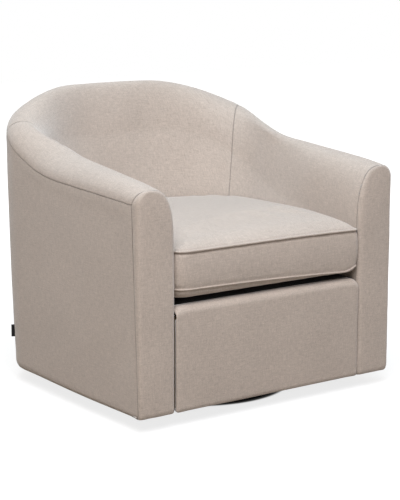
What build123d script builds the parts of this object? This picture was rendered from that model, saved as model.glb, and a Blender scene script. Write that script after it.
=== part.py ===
"""Swivel tub armchair: upholstered body on a turning base, with a loose seat cushion.

Millimetres, +Z up.  The origin is on the floor, on the swivel axis; the front faces -Y.
Every piece is a separate solid and is written to its own STEP file in parts/.
"""
from build123d import *
import math
import os

# Overall form of the upholstered body
BODY_WIDTH = 788.0          # outside of arm to outside of arm, at arm height
BODY_DEPTH = 756.0          # front plane to the middle of the back
BACK_HEIGHT = 752.0         # top of the back above the floor
ARM_FRONT_HEIGHT = 573.0    # top of the arm at its front end
ARM_SWEEP_HEIGHT = 605.0    # top of the arm where it starts to sweep up
ARM_SWEEP_START = 340.0     # how far behind the front the sweep starts
BACK_LEVEL_HALF = 117.0     # half of the level stretch along the top of the back
CORNER_RADIUS = 150.0       # plan radius of the outside back corners
BACK_RADIUS = 690.0         # plan radius of the outside of the back
SEAM_ANGLE = 25.0           # degrees around the corner where arm and back covers meet
SWIVEL_SETBACK = 314.0      # swivel axis behind the front plane

# Wall section, measured inwards from the outside face
ARM_THICKNESS = 108.0
BACK_THICKNESS = 118.0
CORNER_THICKNESS = 140.0    # the inside is rounder than the outside, so the corners are thicker
CORNER_LEAD = 180.0         # how far before the corner seam the wall starts to thicken
CORNER_TRAIL = 260.0        # how far behind it the wall is as thin as the back
ARM_RIDGE = 33.0            # ridge line inside the outside face
CORNER_RIDGE = 36.0
BACK_RIDGE = 34.0
ARM_ROLL = 110.0            # height over which the inside of an arm rolls over
BACK_ROLL = 130.0
BACK_RECLINE = 51.0         # how far the inside of the back leans out
SEAM_DROP = 40.0            # outside seam below the ridge
FRONT_BATTER = 4.0          # how far the outside face draws in at the bottom
BACK_BATTER = 12.0

# Layers of the wall
COVER = 2.5
CLEAR = 0.3
WADDING = 9.0
TIMBER = 22.0
BOARD = 4.0
RAIL_COVERING = 30.0        # foam above the top rails
FRONT_PAD = 20.0            # depth of the padded arm fronts and apron
EDGE_ROUND = 12.0           # softened edge around the arm fronts

# Turning base
PAD_THICKNESS = 3.0
DISC_RADIUS = 240.0
DISC_THICKNESS = 23.0
DISC_EDGE = 3.0
PAD_MARGIN = 8.0
PLATE_SIZE = 176.0
PLATE_THICKNESS = 3.0
PLATE_CORNER = 12.0
PLATE_GAP = 8.0             # between the two swivel plates
RACE_RADIUS = 70.0
RACE_HEIGHT = 2.0
RACE_WIDTH = 14.0
BALL_RADIUS = 3.5
BALL_COUNT = 20
CAGE_THICKNESS = 2.8
CAGE_WIDTH = 12.0
PIN_RADIUS = 8.0
PIN_HEAD_RADIUS = 13.0
PIN_HEAD = 3.0
RUNNING_FIT = 0.08
SCREW_RADIUS = 2.5
SCREW_LENGTH = 18.0
SCREW_HEAD_RADIUS = 5.5
SCREW_HEAD = 2.6
SCREW_INSET = 16.0          # screw centre inside the plate edge

# Frame and seat deck
HEM = 2.0                   # covers hang below the frame by this
BOTTOM_RAIL = 70.0
SEAT_RAIL_TOP = 262.0
SEAT_RAIL = 38.0
DECK_RAIL_TOP = 272.0
DECK_RAIL_WIDTH = 24.0
TOP_RAIL = 46.0
POST_WIDTH = 48.0
SLAT_WIDTH = 70.0
SLAT_HEIGHT = 30.0
BLOCK_LEG = 76.0
SPRING_COUNT = 5
SPRING_PITCH = 20.0
SPRING_WIRE = 1.9           # wire radius
SPRING_HALF_BAR = 16.0
SPRING_SPACING = 104.0
CLIP_WIDTH = 24.0
CLIP_DEPTH = 12.0
STRAP = 2.0
DECK_PAD = 14.2
APRON_TOP = 290.0
APRON_FLAP = 60.0
APRON_ROUND = 16.0
DUST_COVER = 1.0
DUST_MARGIN = 16.0

# Loose seat cushion
CUSHION_CROWN = 448.0       # top of the crown above the floor
TOP_WELT = 413.0
BOTTOM_WELT = 314.0
WELT_RADIUS = 3.0
CUSHION_GAP = 3.0
CUSHION_CORNER = 26.0
CUSHION_BACK_CORNER = 220.0
FRONT_CORNER_ROOM = 0.88  # most of a ring's half width that a front corner takes
CUSHION_SAG = 4.0           # how far its sides draw in between the corners
CROWN_RUN = 150.0           # distance over which the crown rises

# Blank tag in the left back seam
TAG_HEIGHT = 32.0
TAG_REACH = 9.0
TAG_THICKNESS = 1.6
TAG_LEVEL = 130.0

# Levels and distances that follow from the sizes above
HALF = BODY_WIDTH / 2
DISC_TOP = PAD_THICKNESS + DISC_THICKNESS
LOWER_TOP = DISC_TOP + PLATE_THICKNESS
UPPER_BOTTOM = LOWER_TOP + PLATE_GAP
FRAME_BOTTOM = UPPER_BOTTOM + PLATE_THICKNESS
BODY_BOTTOM = FRAME_BOTTOM - HEM
BALL_LEVEL = LOWER_TOP + PLATE_GAP / 2
SKIN = COVER + CLEAR
WAD_END = SKIN + WADDING
FRAME_OUT = WAD_END + CLEAR
FRAME_IN = FRAME_OUT + TIMBER
BOARD_OUT = FRAME_IN + CLEAR
BOARD_IN = BOARD_OUT + BOARD
FOAM_OUT = BOARD_IN + CLEAR
POST_FRONT = FRONT_PAD + CLEAR
POST_BACK = POST_FRONT + TIMBER
DECK_COVER_TOP = APRON_TOP - COVER - CLEAR
DECK_PAD_TOP = DECK_COVER_TOP - COVER - CLEAR
DECK_PAD_BOTTOM = DECK_PAD_TOP - DECK_PAD
FOAM_BOTTOM = DECK_RAIL_TOP + 3.0
INSIDE_TUCK = SEAT_RAIL_TOP
BACK_CENTRE = BODY_DEPTH - BACK_RADIUS
CORNER_X = HALF - CORNER_RADIUS
SIDE_LENGTH = BACK_CENTRE + math.sqrt((BACK_RADIUS - CORNER_RADIUS) ** 2 - CORNER_X ** 2)
CORNER_TURN = math.atan2(SIDE_LENGTH - BACK_CENTRE, CORNER_X)
CORNER_END = SIDE_LENGTH + CORNER_RADIUS * CORNER_TURN
MIDDLE = CORNER_END + BACK_RADIUS * (math.pi / 2 - CORNER_TURN)
SEAM = SIDE_LENGTH + CORNER_RADIUS * math.radians(SEAM_ANGLE)
SEAT_FRAME_DEPTH = SIDE_LENGTH - 10.0    # front plane to the rear face of the seat frame
POST_START = SEAM - POST_WIDTH / 2
POST_END = SEAM + POST_WIDTH / 2


def blend(u):
    """Smooth step from 0 to 1."""
    u = min(max(u, 0.0), 1.0)
    return u * u * (3 - 2 * u)


def between(s, arm, corner, back):
    """A wall size that changes along the path from the arm, past the corner seam, to the back."""
    if s <= SEAM:
        return arm + (corner - arm) * blend((s - SEAM / 3) / (SEAM * 2 / 3))
    return corner + (back - corner) * blend((s - SEAM) / (MIDDLE - SEAM))


def half_path(s):
    """Distance along the outside face, folded to the left half."""
    return s if s <= MIDDLE else 2 * MIDDLE - s


def outside(s):
    """Point on the outside face in plan and the inward normal, from the left arm front round."""
    u = half_path(s)
    if u <= SIDE_LENGTH:
        x, y, nx, ny = -HALF, u, 1.0, 0.0
    elif u <= CORNER_END:
        a = (u - SIDE_LENGTH) / CORNER_RADIUS
        x = -CORNER_X - CORNER_RADIUS * math.cos(a)
        y = SIDE_LENGTH + CORNER_RADIUS * math.sin(a)
        nx, ny = math.cos(a), -math.sin(a)
    else:
        a = CORNER_TURN + (u - CORNER_END) / BACK_RADIUS
        x = -BACK_RADIUS * math.cos(a)
        y = BACK_CENTRE + BACK_RADIUS * math.sin(a)
        nx, ny = math.cos(a), -math.sin(a)
    if s > MIDDLE:
        x, nx = -x, -nx
    return x, y, nx, ny


def at(s, d, z):
    """Point at distance s along the wall, d inside its outside face, at height z."""
    x, y, nx, ny = outside(s)
    return Vector(x + d * nx, y + d * ny - SWIVEL_SETBACK, z)


def ridge(s):
    """Height of the top of the wall."""
    u = half_path(s)
    slope = (ARM_SWEEP_HEIGHT - ARM_FRONT_HEIGHT) / ARM_SWEEP_START
    if u <= ARM_SWEEP_START:
        return ARM_FRONT_HEIGHT + slope * u
    run = MIDDLE - BACK_LEVEL_HALF - ARM_SWEEP_START
    t = min((u - ARM_SWEEP_START) / run, 1.0)
    start = (2 * t ** 3 - 3 * t ** 2 + 1) * ARM_SWEEP_HEIGHT
    lead = (t ** 3 - 2 * t ** 2 + t) * run * slope
    return start + lead + (3 * t ** 2 - 2 * t ** 3) * BACK_HEIGHT


def batter(s):
    """How far the outside face is drawn in at the bottom."""
    return between(half_path(s), FRONT_BATTER, BACK_BATTER, BACK_BATTER)


def face_at(s, z):
    """Distance of the outside face from the path at height z."""
    seam = ridge(s) - SEAM_DROP
    return batter(s) * max(0.0, (seam - z) / (seam - BODY_BOTTOM))


def thickness(s):
    """Depth of the wall at seat level."""
    u = half_path(s)
    if u <= SEAM:
        return ARM_THICKNESS + (CORNER_THICKNESS - ARM_THICKNESS) * blend(1 - (SEAM - u) / CORNER_LEAD)
    return CORNER_THICKNESS + (BACK_THICKNESS - CORNER_THICKNESS) * blend((u - SEAM) / CORNER_TRAIL)


def arch(s, inset, low):
    """The rolled top and inside face of the wall as (d, z) points, drawn in by inset."""
    u = half_path(s)
    top = ridge(s)
    crest = between(u, ARM_RIDGE, CORNER_RIDGE, BACK_RIDGE)
    seam = top - SEAM_DROP
    roll = between(u, ARM_ROLL, BACK_ROLL, BACK_ROLL)
    lean = between(u, 0.0, BACK_RECLINE, BACK_RECLINE)
    inner = thickness(s) - inset
    shoulder = inner - lean
    knee = top - roll
    half = math.sqrt(0.5)
    out_mid = (crest - (crest - inset) * half, seam + (top - inset - seam) * half)
    in_mid = (crest + (shoulder - crest) * half, knee + (top - inset - knee) * half)
    return {
        "seam": (inset, seam),
        "out_mid": out_mid,
        "crest": (crest, top - inset),
        "in_mid": in_mid,
        "shoulder": (shoulder, knee),
        "low": (inner - lean * (low - INSIDE_TUCK) / (knee - INSIDE_TUCK), low),
    }


def section(s, outline):
    """Closed wire from (d, z) points; a triple in the list is an arc through its middle point."""
    edges = []
    for piece in outline:
        points = [at(s, d, z) for d, z in piece]
        if len(points) == 3:
            edges.append(Edge.make_three_point_arc(*points))
        else:
            edges.append(Edge.make_line(*points))
    return Wire(edges)


def polygon(points):
    return [(points[i], points[(i + 1) % len(points)]) for i in range(len(points))]


def steps(start, end, count):
    return [start + (end - start) * i / count for i in range(count + 1)]


# Every wall piece is lofted through the same stations, so that the layers stay parallel
ARM_GRID = [SEAM / 3] + steps(ARM_SWEEP_START, SIDE_LENGTH, 3) + [POST_START]
STRAP_GRID = steps(CORNER_END, MIDDLE, 6)
BACK_GRID = [POST_END, (POST_END + CORNER_END) / 2] + STRAP_GRID


def wall(stations, outline):
    """Loft one outline along the wall."""
    return Solid.make_loft([section(s, outline(s)) for s in stations], True)


def arm_stations(start, end):
    return [start] + [s for s in sorted(ARM_GRID) if start < s < end] + [end]


def back_stations(start):
    half = [start] + [s for s in BACK_GRID if s > start]
    return half + [2 * MIDDLE - s for s in reversed(half[:-1])]


def mirrored(solid):
    return solid.mirror(Plane.YZ)


def block(x0, x1, y0, y1, z0, z1):
    """Box between two corners; y counts from the front plane."""
    centre = Pos((x0 + x1) / 2, (y0 + y1) / 2 - SWIVEL_SETBACK, (z0 + z1) / 2)
    return centre * Box(x1 - x0, y1 - y0, z1 - z0)


# Wall pieces, as outlines of (d, z) points at distance s along the wall
def outside_cover(s):
    low, seam = batter(s), ridge(s) - SEAM_DROP - CLEAR
    return polygon([(low, BODY_BOTTOM), (0.0, seam), (COVER, seam), (low + COVER, BODY_BOTTOM)])


def outside_wadding(s):
    low, seam = batter(s), ridge(s) - SEAM_DROP - CLEAR
    return polygon([
        (low + SKIN, FRAME_BOTTOM), (SKIN, seam), (WAD_END, seam), (low + WAD_END, FRAME_BOTTOM),
    ])


def inside_cover(s):
    a = arch(s, 0.0, INSIDE_TUCK)
    b = arch(s, COVER, INSIDE_TUCK)
    return [
        (a["seam"], a["out_mid"], a["crest"]),
        (a["crest"], a["in_mid"], a["shoulder"]),
        (a["shoulder"], a["low"]),
        (a["low"], b["low"]),
        (b["low"], b["shoulder"]),
        (b["shoulder"], b["in_mid"], b["crest"]),
        (b["crest"], b["out_mid"], b["seam"]),
        (b["seam"], a["seam"]),
    ]


def wall_foam(s):
    a = arch(s, SKIN, FOAM_BOTTOM)
    seat_on = ridge(s) - RAIL_COVERING + CLEAR
    heel = (WAD_END, a["seam"][1])
    outer_top = (WAD_END, seat_on)
    inner_top = (FOAM_OUT, seat_on)
    inner_low = (FOAM_OUT, FOAM_BOTTOM)
    return [
        (a["seam"], a["out_mid"], a["crest"]),
        (a["crest"], a["in_mid"], a["shoulder"]),
        (a["shoulder"], a["low"]),
        (a["low"], inner_low),
        (inner_low, inner_top),
        (inner_top, outer_top),
        (outer_top, heel),
        (heel, a["seam"]),
    ]


def bottom_rail_outline(s):
    lean = batter(s)
    low, high = FRAME_BOTTOM, FRAME_BOTTOM + BOTTOM_RAIL
    out, inner = FRAME_OUT + lean, FRAME_IN + lean
    return polygon([(out, low), (out, high), (inner, high), (inner, low)])


def top_rail_high(s):
    return ridge(s) - RAIL_COVERING


def top_rail_outline(s):
    high = top_rail_high(s)
    low = high - TOP_RAIL
    out = FRAME_OUT + face_at(s, low)
    return polygon([(out, low), (out, high), (FRAME_IN, high), (FRAME_IN, low)])


def post_outline(s):
    low, high = FRAME_BOTTOM, top_rail_high(s)
    lean = face_at(s, low)
    return polygon([(FRAME_OUT + lean, low), (FRAME_OUT, high), (FRAME_IN, high), (FRAME_IN, low)])


def board_outline(s):
    low, high = FRAME_BOTTOM + 2 * BOTTOM_RAIL, top_rail_high(s) - 2 * BOARD
    return polygon([(BOARD_OUT, low), (BOARD_OUT, high), (BOARD_IN, high), (BOARD_IN, low)])


def strap_outline(s):
    low, high = DECK_RAIL_TOP - SEAT_RAIL, top_rail_high(s) - 2 * BOARD
    inner = BOARD_OUT + STRAP
    return polygon([(BOARD_OUT, low), (BOARD_OUT, high), (inner, high), (inner, low)])


def deck_rail_outline(s):
    low, high = DECK_RAIL_TOP - SEAT_RAIL, DECK_RAIL_TOP
    inner = FOAM_OUT + DECK_RAIL_WIDTH
    return polygon([(FOAM_OUT, low), (FOAM_OUT, high), (inner, high), (inner, low)])


BOTTOM_RAIL_TOP = FRAME_BOTTOM + BOTTOM_RAIL
ARM_RUN = arm_stations(POST_FRONT, SEAM - CLEAR / 2)
ARM_INNER_RUN = arm_stations(POST_BACK + CLEAR, SEAM - CLEAR / 2)
ARM_FRAME_RUN = arm_stations(POST_BACK, POST_START)
BACK_RUN = back_stations(SEAM + CLEAR / 2)
BACK_FRAME_RUN = back_stations(POST_END)
POST_RUN = [POST_START, SEAM, POST_END]


def arm_profile(inset, depth, bottom):
    """Outline of the arm end at a distance behind the front plane."""
    a = arch(0.0, inset, bottom)
    low_out = (FRONT_BATTER + inset, bottom)
    outline = [
        (low_out, a["seam"]),
        (a["seam"], a["out_mid"], a["crest"]),
        (a["crest"], a["in_mid"], a["shoulder"]),
        (a["shoulder"], a["low"]),
        (a["low"], low_out),
    ]
    wire = section(0.0, outline)
    return wire.moved(Location((0, depth, 0)))


def arm_end(inset, front, back, bottom):
    """Padded end of an arm: its edges soften towards the front."""
    soft = EDGE_ROUND
    rings = [
        arm_profile(inset + 0.75 * soft, front, bottom),
        arm_profile(inset + 0.25 * soft, front + 0.3 * soft, bottom),
        arm_profile(inset, front + soft, bottom),
        arm_profile(inset, back, bottom),
    ]
    return Solid.make_loft(rings, True)


def arm_front_cover():
    shell = arm_end(0.0, 0.0, FRONT_PAD, BODY_BOTTOM)
    return shell - arm_end(COVER, COVER, FRONT_PAD + COVER, BODY_BOTTOM - COVER)


def arm_front_pad():
    return arm_end(SKIN, SKIN, FRONT_PAD, FRAME_BOTTOM)


def arm_front_post():
    rings = [arm_profile(SKIN + 2 * CLEAR, y, FRAME_BOTTOM) for y in (POST_FRONT, POST_BACK)]
    return Solid.make_loft(rings, True)


# Front apron, between the arms
APRON_HALF = HALF - ARM_THICKNESS - CLEAR


def apron_layer(inset, back):
    """Side view of the apron as a closed solid, drawn in by inset, back to a given depth."""
    top = APRON_TOP - inset
    bend = APRON_ROUND - inset
    half = bend * math.sqrt(0.5)
    points = [
        (inset, FRAME_BOTTOM if inset else BODY_BOTTOM),
        (inset, top - bend),
        (inset + bend - half, top - bend + half),
        (inset + bend, top),
        (back, top),
        (back, FRAME_BOTTOM if inset else BODY_BOTTOM),
    ]
    place = [Vector(-APRON_HALF, y - SWIVEL_SETBACK, z) for y, z in points]
    wire = Wire([
        Edge.make_line(place[0], place[1]),
        Edge.make_three_point_arc(place[1], place[2], place[3]),
        Edge.make_line(place[3], place[4]),
        Edge.make_line(place[4], place[5]),
        Edge.make_line(place[5], place[0]),
    ])
    return extrude(Face(wire), amount=2 * APRON_HALF, dir=(1, 0, 0))


def apron_cover():
    body = apron_layer(0.0, APRON_FLAP)
    wide = APRON_HALF + 1
    inner = apron_layer(COVER, APRON_FLAP + 1)
    below = block(-wide, wide, COVER, APRON_FLAP + 1, BODY_BOTTOM - 1, APRON_TOP / 2)
    return body - inner - below


def apron_pad():
    body = apron_layer(SKIN, POST_FRONT + 4)
    rail = block(
        -APRON_HALF - 1, APRON_HALF + 1, FRONT_PAD, POST_BACK,
        FRAME_BOTTOM - 1, SEAT_RAIL_TOP + CLEAR,
    )
    return body - rail


# Seat deck and springs
def seat_outline(clear, front, z, corner):
    """Plan of the seat space inside the arms and back, drawn in by clear."""
    half = HALF - ARM_THICKNESS - clear
    radius = BACK_RADIUS - BACK_THICKNESS - clear
    y_side = BACK_CENTRE + math.sqrt(radius ** 2 - half ** 2) - SWIVEL_SETBACK
    y_back = BACK_CENTRE + radius - SWIVEL_SETBACK
    y_front = front - SWIVEL_SETBACK
    wire = Wire([
        Edge.make_line((-half, y_front, z), (half, y_front, z)),
        Edge.make_line((half, y_front, z), (half, y_side, z)),
        Edge.make_three_point_arc((half, y_side, z), (0, y_back, z), (-half, y_side, z)),
        Edge.make_line((-half, y_side, z), (-half, y_front, z)),
    ])
    rear = [v for v in wire.vertices() if v.Y > 0]
    return wire.fillet_2d(corner, rear)


def deck_sheet(bottom, thick):
    wire = seat_outline(1.0, POST_FRONT + 6, bottom, CUSHION_BACK_CORNER)
    return extrude(Face(wire), amount=thick, dir=(0, 0, 1))


SPRING_LEVEL = SEAT_RAIL_TOP + CLEAR + SPRING_WIRE * 2
SPRING_FRONT = POST_BACK - CLIP_DEPTH / 2 - 1
SPRING_BACK = SEAT_FRAME_DEPTH - TIMBER / 2
SPRING_XS = [(i - (SPRING_COUNT - 1) / 2) * SPRING_SPACING for i in range(SPRING_COUNT)]


def seat_spring(x):
    """Zigzag wire from the front rail to the back seat rail."""
    turns = round((SPRING_BACK - SPRING_FRONT) / SPRING_PITCH)
    pitch = (SPRING_BACK - SPRING_FRONT) / turns
    edges = []
    for i in range(turns + 1):
        y = SPRING_FRONT + i * pitch - SWIVEL_SETBACK
        side = 1 if i % 2 == 0 else -1
        start = (x - side * SPRING_HALF_BAR, y, SPRING_LEVEL)
        end = (x + side * SPRING_HALF_BAR, y, SPRING_LEVEL)
        edges.append(Edge.make_line(start, end))
        if i < turns:
            middle = (x + side * (SPRING_HALF_BAR + pitch / 2), y + pitch / 2, SPRING_LEVEL)
            edges.append(Edge.make_three_point_arc(end, middle, (end[0], y + pitch, SPRING_LEVEL)))
    path = Wire(edges)
    start = Plane(origin=path @ 0, z_dir=path % 0)
    return sweep(start * Circle(SPRING_WIRE), path=path)


def spring_clip(x, y):
    low = SEAT_RAIL_TOP
    high = SPRING_LEVEL + 2 * SPRING_WIRE
    body = block(x - CLIP_WIDTH / 2, x + CLIP_WIDTH / 2, y - CLIP_DEPTH / 2, y + CLIP_DEPTH / 2, low, high)
    hole = Pos(x, y - SWIVEL_SETBACK, SPRING_LEVEL) * Rot(0, 90, 0) * Cylinder(SPRING_WIRE + CLEAR, CLIP_WIDTH + 2)
    return body - hole


def corner_block(x, y, toward_x, toward_y, low, high):
    """Triangular block in an inside corner of the seat frame."""
    y -= SWIVEL_SETBACK
    corner = Vector(x, y, low)
    along_x = Vector(x + toward_x * BLOCK_LEG, y, low)
    along_y = Vector(x, y + toward_y * BLOCK_LEG, low)
    wire = Wire([
        Edge.make_line(corner, along_x),
        Edge.make_line(along_x, along_y),
        Edge.make_line(along_y, corner),
    ])
    return extrude(Face(wire), amount=high - low, dir=(0, 0, 1))


def corner_blocks():
    inner = HALF - FOAM_OUT - DECK_RAIL_WIDTH
    rear = SEAT_FRAME_DEPTH - TIMBER
    low, high = SEAT_RAIL_TOP - SEAT_RAIL, SEAT_RAIL_TOP - 2.0
    low = max(low, DECK_RAIL_TOP - SEAT_RAIL)
    return Compound([
        corner_block(-inner, POST_BACK, 1, 1, low, high),
        corner_block(inner, POST_BACK, -1, 1, low, high),
        corner_block(-inner, rear, 1, -1, low, high),
        corner_block(inner, rear, -1, -1, low, high),
    ])


def back_straps():
    """Elastic straps behind the back foam, each across one stretch between stations."""
    left = [wall(STRAP_GRID[i:i + 2], strap_outline) for i in (1, 4)]
    return Compound(left + [mirrored(strap) for strap in left])


def dust_cover():
    """Thin cloth under the frame, cut out around the swivel plate."""
    d = DUST_MARGIN
    z = BODY_BOTTOM + (HEM - DUST_COVER) - CLEAR
    front = POST_FRONT + 1 - SWIVEL_SETBACK
    side = SIDE_LENGTH - SWIVEL_SETBACK
    corner = CORNER_RADIUS - d
    back = BACK_RADIUS - d
    mid = CORNER_TURN / 2
    end_x = CORNER_X + corner * math.cos(CORNER_TURN)
    end_y = side + corner * math.sin(CORNER_TURN)
    mid_x = CORNER_X + corner * math.cos(mid)
    mid_y = side + corner * math.sin(mid)
    half = HALF - d
    top = BACK_CENTRE + back - SWIVEL_SETBACK
    wire = Wire([
        Edge.make_line((-half, front, z), (half, front, z)),
        Edge.make_line((half, front, z), (half, side, z)),
        Edge.make_three_point_arc((half, side, z), (mid_x, mid_y, z), (end_x, end_y, z)),
        Edge.make_three_point_arc((end_x, end_y, z), (0, top, z), (-end_x, end_y, z)),
        Edge.make_three_point_arc((-end_x, end_y, z), (-mid_x, mid_y, z), (-half, side, z)),
        Edge.make_line((-half, side, z), (-half, front, z)),
    ])
    sheet = extrude(Face(wire), amount=DUST_COVER, dir=(0, 0, 1))
    return sheet - Pos(0, 0, z) * Box(PLATE_SIZE + 4, PLATE_SIZE + 4, 10 * DUST_COVER)


def side_tag():
    """Small folded tag standing out of the left back seam, left bare."""
    x, y, nx, ny = outside(SEAM)
    face = face_at(SEAM, TAG_LEVEL)
    reach = face - 2 * CLEAR - TAG_REACH / 2
    spot = Location((x + reach * nx, y + reach * ny - SWIVEL_SETBACK, TAG_LEVEL))
    turn = Rot(0, 0, math.degrees(math.atan2(ny, nx)))
    return spot * turn * Box(TAG_REACH, TAG_THICKNESS, TAG_HEIGHT)


# Turning base
SCREW_AT = PLATE_SIZE / 2 - SCREW_INSET
SCREW_SPOTS = [(SCREW_AT * i, SCREW_AT * j) for i in (-1, 1) for j in (-1, 1)]
SCREW_HOLE = SCREW_RADIUS + 0.1


def floor_pad():
    return Pos(0, 0, PAD_THICKNESS / 2) * Cylinder(DISC_RADIUS - PAD_MARGIN, PAD_THICKNESS)


def screw_holes(low, high):
    tall = high - low
    return [Pos(x, y, (low + high) / 2) * Cylinder(SCREW_HOLE, tall) for x, y in SCREW_SPOTS]


def base_disc():
    disc = Pos(0, 0, PAD_THICKNESS + DISC_THICKNESS / 2) * Cylinder(DISC_RADIUS, DISC_THICKNESS)
    disc = fillet(disc.edges(), DISC_EDGE)
    return disc - screw_holes(DISC_TOP - SCREW_LENGTH + PLATE_THICKNESS, DISC_TOP + 1)


def race_groove():
    return Pos(0, 0, BALL_LEVEL) * Torus(RACE_RADIUS, BALL_RADIUS + CLEAR)


def race_ring(low):
    middle = Pos(0, 0, low + RACE_HEIGHT / 2)
    outer = Cylinder(RACE_RADIUS + RACE_WIDTH / 2, RACE_HEIGHT)
    return middle * (outer - Cylinder(RACE_RADIUS - RACE_WIDTH / 2, RACE_HEIGHT))


def swivel_plate(low, race_low):
    sheet = extrude(RectangleRounded(PLATE_SIZE, PLATE_SIZE, PLATE_CORNER), amount=PLATE_THICKNESS)
    plate = Pos(0, 0, low) * sheet + race_ring(race_low) - race_groove()
    plate = plate - Pos(0, 0, BALL_LEVEL) * Cylinder(PIN_RADIUS + RUNNING_FIT, 4 * PLATE_GAP)
    return plate - screw_holes(low - 1, low + PLATE_THICKNESS + 1)


def king_pin():
    low = DISC_TOP + CLEAR
    high = FRAME_BOTTOM + CLEAR
    shaft = Pos(0, 0, (low + high) / 2) * Cylinder(PIN_RADIUS, high - low)
    head = Pos(0, 0, high + PIN_HEAD / 2) * Cylinder(PIN_HEAD_RADIUS, PIN_HEAD)
    return shaft + head


def plate_screw(x, y, seat, way):
    """Pan-head screw; way is -1 when it is driven down and +1 when it is driven up."""
    head = Pos(x, y, seat - way * SCREW_HEAD / 2) * Cylinder(SCREW_HEAD_RADIUS, SCREW_HEAD)
    shank = Pos(x, y, seat + way * SCREW_LENGTH / 2) * Cylinder(SCREW_RADIUS, SCREW_LENGTH)
    return head + shank


def ball_places():
    turn = 360 / BALL_COUNT
    return [Rot(0, 0, turn * i) * Pos(RACE_RADIUS, 0, BALL_LEVEL) for i in range(BALL_COUNT)]


def ball_cage():
    outer = Cylinder(RACE_RADIUS + CAGE_WIDTH / 2, CAGE_THICKNESS)
    ring = Pos(0, 0, BALL_LEVEL) * (outer - Cylinder(RACE_RADIUS - CAGE_WIDTH / 2, CAGE_THICKNESS))
    return ring - [p * Cylinder(BALL_RADIUS + CLEAR, 2 * CAGE_THICKNESS) for p in ball_places()]


def swivel_slat(side):
    x = side * SCREW_AT
    half = SLAT_WIDTH / 2
    end = SEAT_FRAME_DEPTH - TIMBER
    slat = block(x - half, x + half, POST_BACK, end, FRAME_BOTTOM, FRAME_BOTTOM + SLAT_HEIGHT)
    return slat - screw_holes(FRAME_BOTTOM - 1, FRAME_BOTTOM + SCREW_LENGTH - PLATE_THICKNESS + 0.5)


# Loose seat cushion
def cushion_outline(inset, z):
    """Plan of the cushion: sides drawn in between rounded corners, smaller by inset."""
    half = HALF - ARM_THICKNESS - CUSHION_GAP - inset
    radius = BACK_RADIUS - BACK_THICKNESS - CUSHION_GAP - inset
    y_front = inset - SWIVEL_SETBACK
    y_side = BACK_CENTRE + math.sqrt(radius ** 2 - half ** 2) - SWIVEL_SETBACK
    y_back = BACK_CENTRE + radius - SWIVEL_SETBACK
    y_mid = (y_front + y_side) / 2
    pull = half - CUSHION_SAG
    wire = Wire([
        Edge.make_three_point_arc((-half, y_front, z), (0, y_front + CUSHION_SAG / 2, z), (half, y_front, z)),
        Edge.make_three_point_arc((half, y_front, z), (pull, y_mid, z), (half, y_side, z)),
        Edge.make_three_point_arc((half, y_side, z), (0, y_back, z), (-half, y_side, z)),
        Edge.make_three_point_arc((-half, y_side, z), (-pull, y_mid, z), (-half, y_front, z)),
    ])
    front = [v for v in wire.vertices() if v.Y < y_mid]
    wire = wire.fillet_2d(min(CUSHION_CORNER + inset / 2, FRONT_CORNER_ROOM * half), front)
    rear = sorted(wire.vertices(), key=lambda v: v.Y)[-2:]
    return wire.fillet_2d(min(CUSHION_BACK_CORNER + inset / 2, pull), rear)


def crown(start, rise, inset, drop):
    """Crowned cap from the welt line; rise is negative for the underside."""
    rings = []
    for t in (0.0, 0.06, 0.15, 0.3, 0.55, 1.0):
        z = start + rise * (1 - (1 - t) ** 2)
        rings.append(cushion_outline(inset + t * CROWN_RUN, z - math.copysign(drop, rise)))
    return Solid.make_loft(rings, True)


WELT_STEP = WELT_RADIUS + CLEAR
CUSHION_UNDER = DECK_COVER_TOP + CLEAR
TOP_RISE = CUSHION_CROWN - TOP_WELT - WELT_STEP
UNDER_RISE = CUSHION_UNDER - BOTTOM_WELT + WELT_STEP
FOAM_INSET = 2 * WELT_RADIUS + CLEAR


def cushion_top():
    start = TOP_WELT + WELT_STEP
    return crown(start, TOP_RISE, 0.0, 0.0) - crown(start, TOP_RISE, COVER, COVER)


def cushion_bottom():
    start = BOTTOM_WELT - WELT_STEP
    return crown(start, UNDER_RISE, 0.0, 0.0) - crown(start, UNDER_RISE, COVER, COVER)


def cushion_boxing():
    low = BOTTOM_WELT + WELT_STEP
    tall = TOP_WELT - WELT_STEP - low
    outer = extrude(Face(cushion_outline(0.0, low)), amount=tall, dir=(0, 0, 1))
    return outer - extrude(Face(cushion_outline(COVER, low - 1)), amount=tall + 2, dir=(0, 0, 1))


def cushion_welt(z):
    path = cushion_outline(WELT_RADIUS - 1.0, z)
    start = Plane(origin=path @ 0, z_dir=path % 0)
    return sweep(start * Circle(WELT_RADIUS), path=path)


def cushion_foam():
    low = BOTTOM_WELT - WELT_STEP
    high = TOP_WELT + WELT_STEP
    top = crown(high, TOP_RISE, FOAM_INSET, SKIN)
    under = crown(low, UNDER_RISE, FOAM_INSET, SKIN)
    base, lid = low + SKIN, high - SKIN
    middle = extrude(Face(cushion_outline(FOAM_INSET, base)), amount=lid - base, dir=(0, 0, 1))
    return middle + top + under


CROSS_HALF = HALF - FRAME_IN - batter(SEAT_FRAME_DEPTH) - CLEAR


def side_pair(name, solid):
    return {"left_" + name: solid, "right_" + name: mirrored(solid)}


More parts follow.
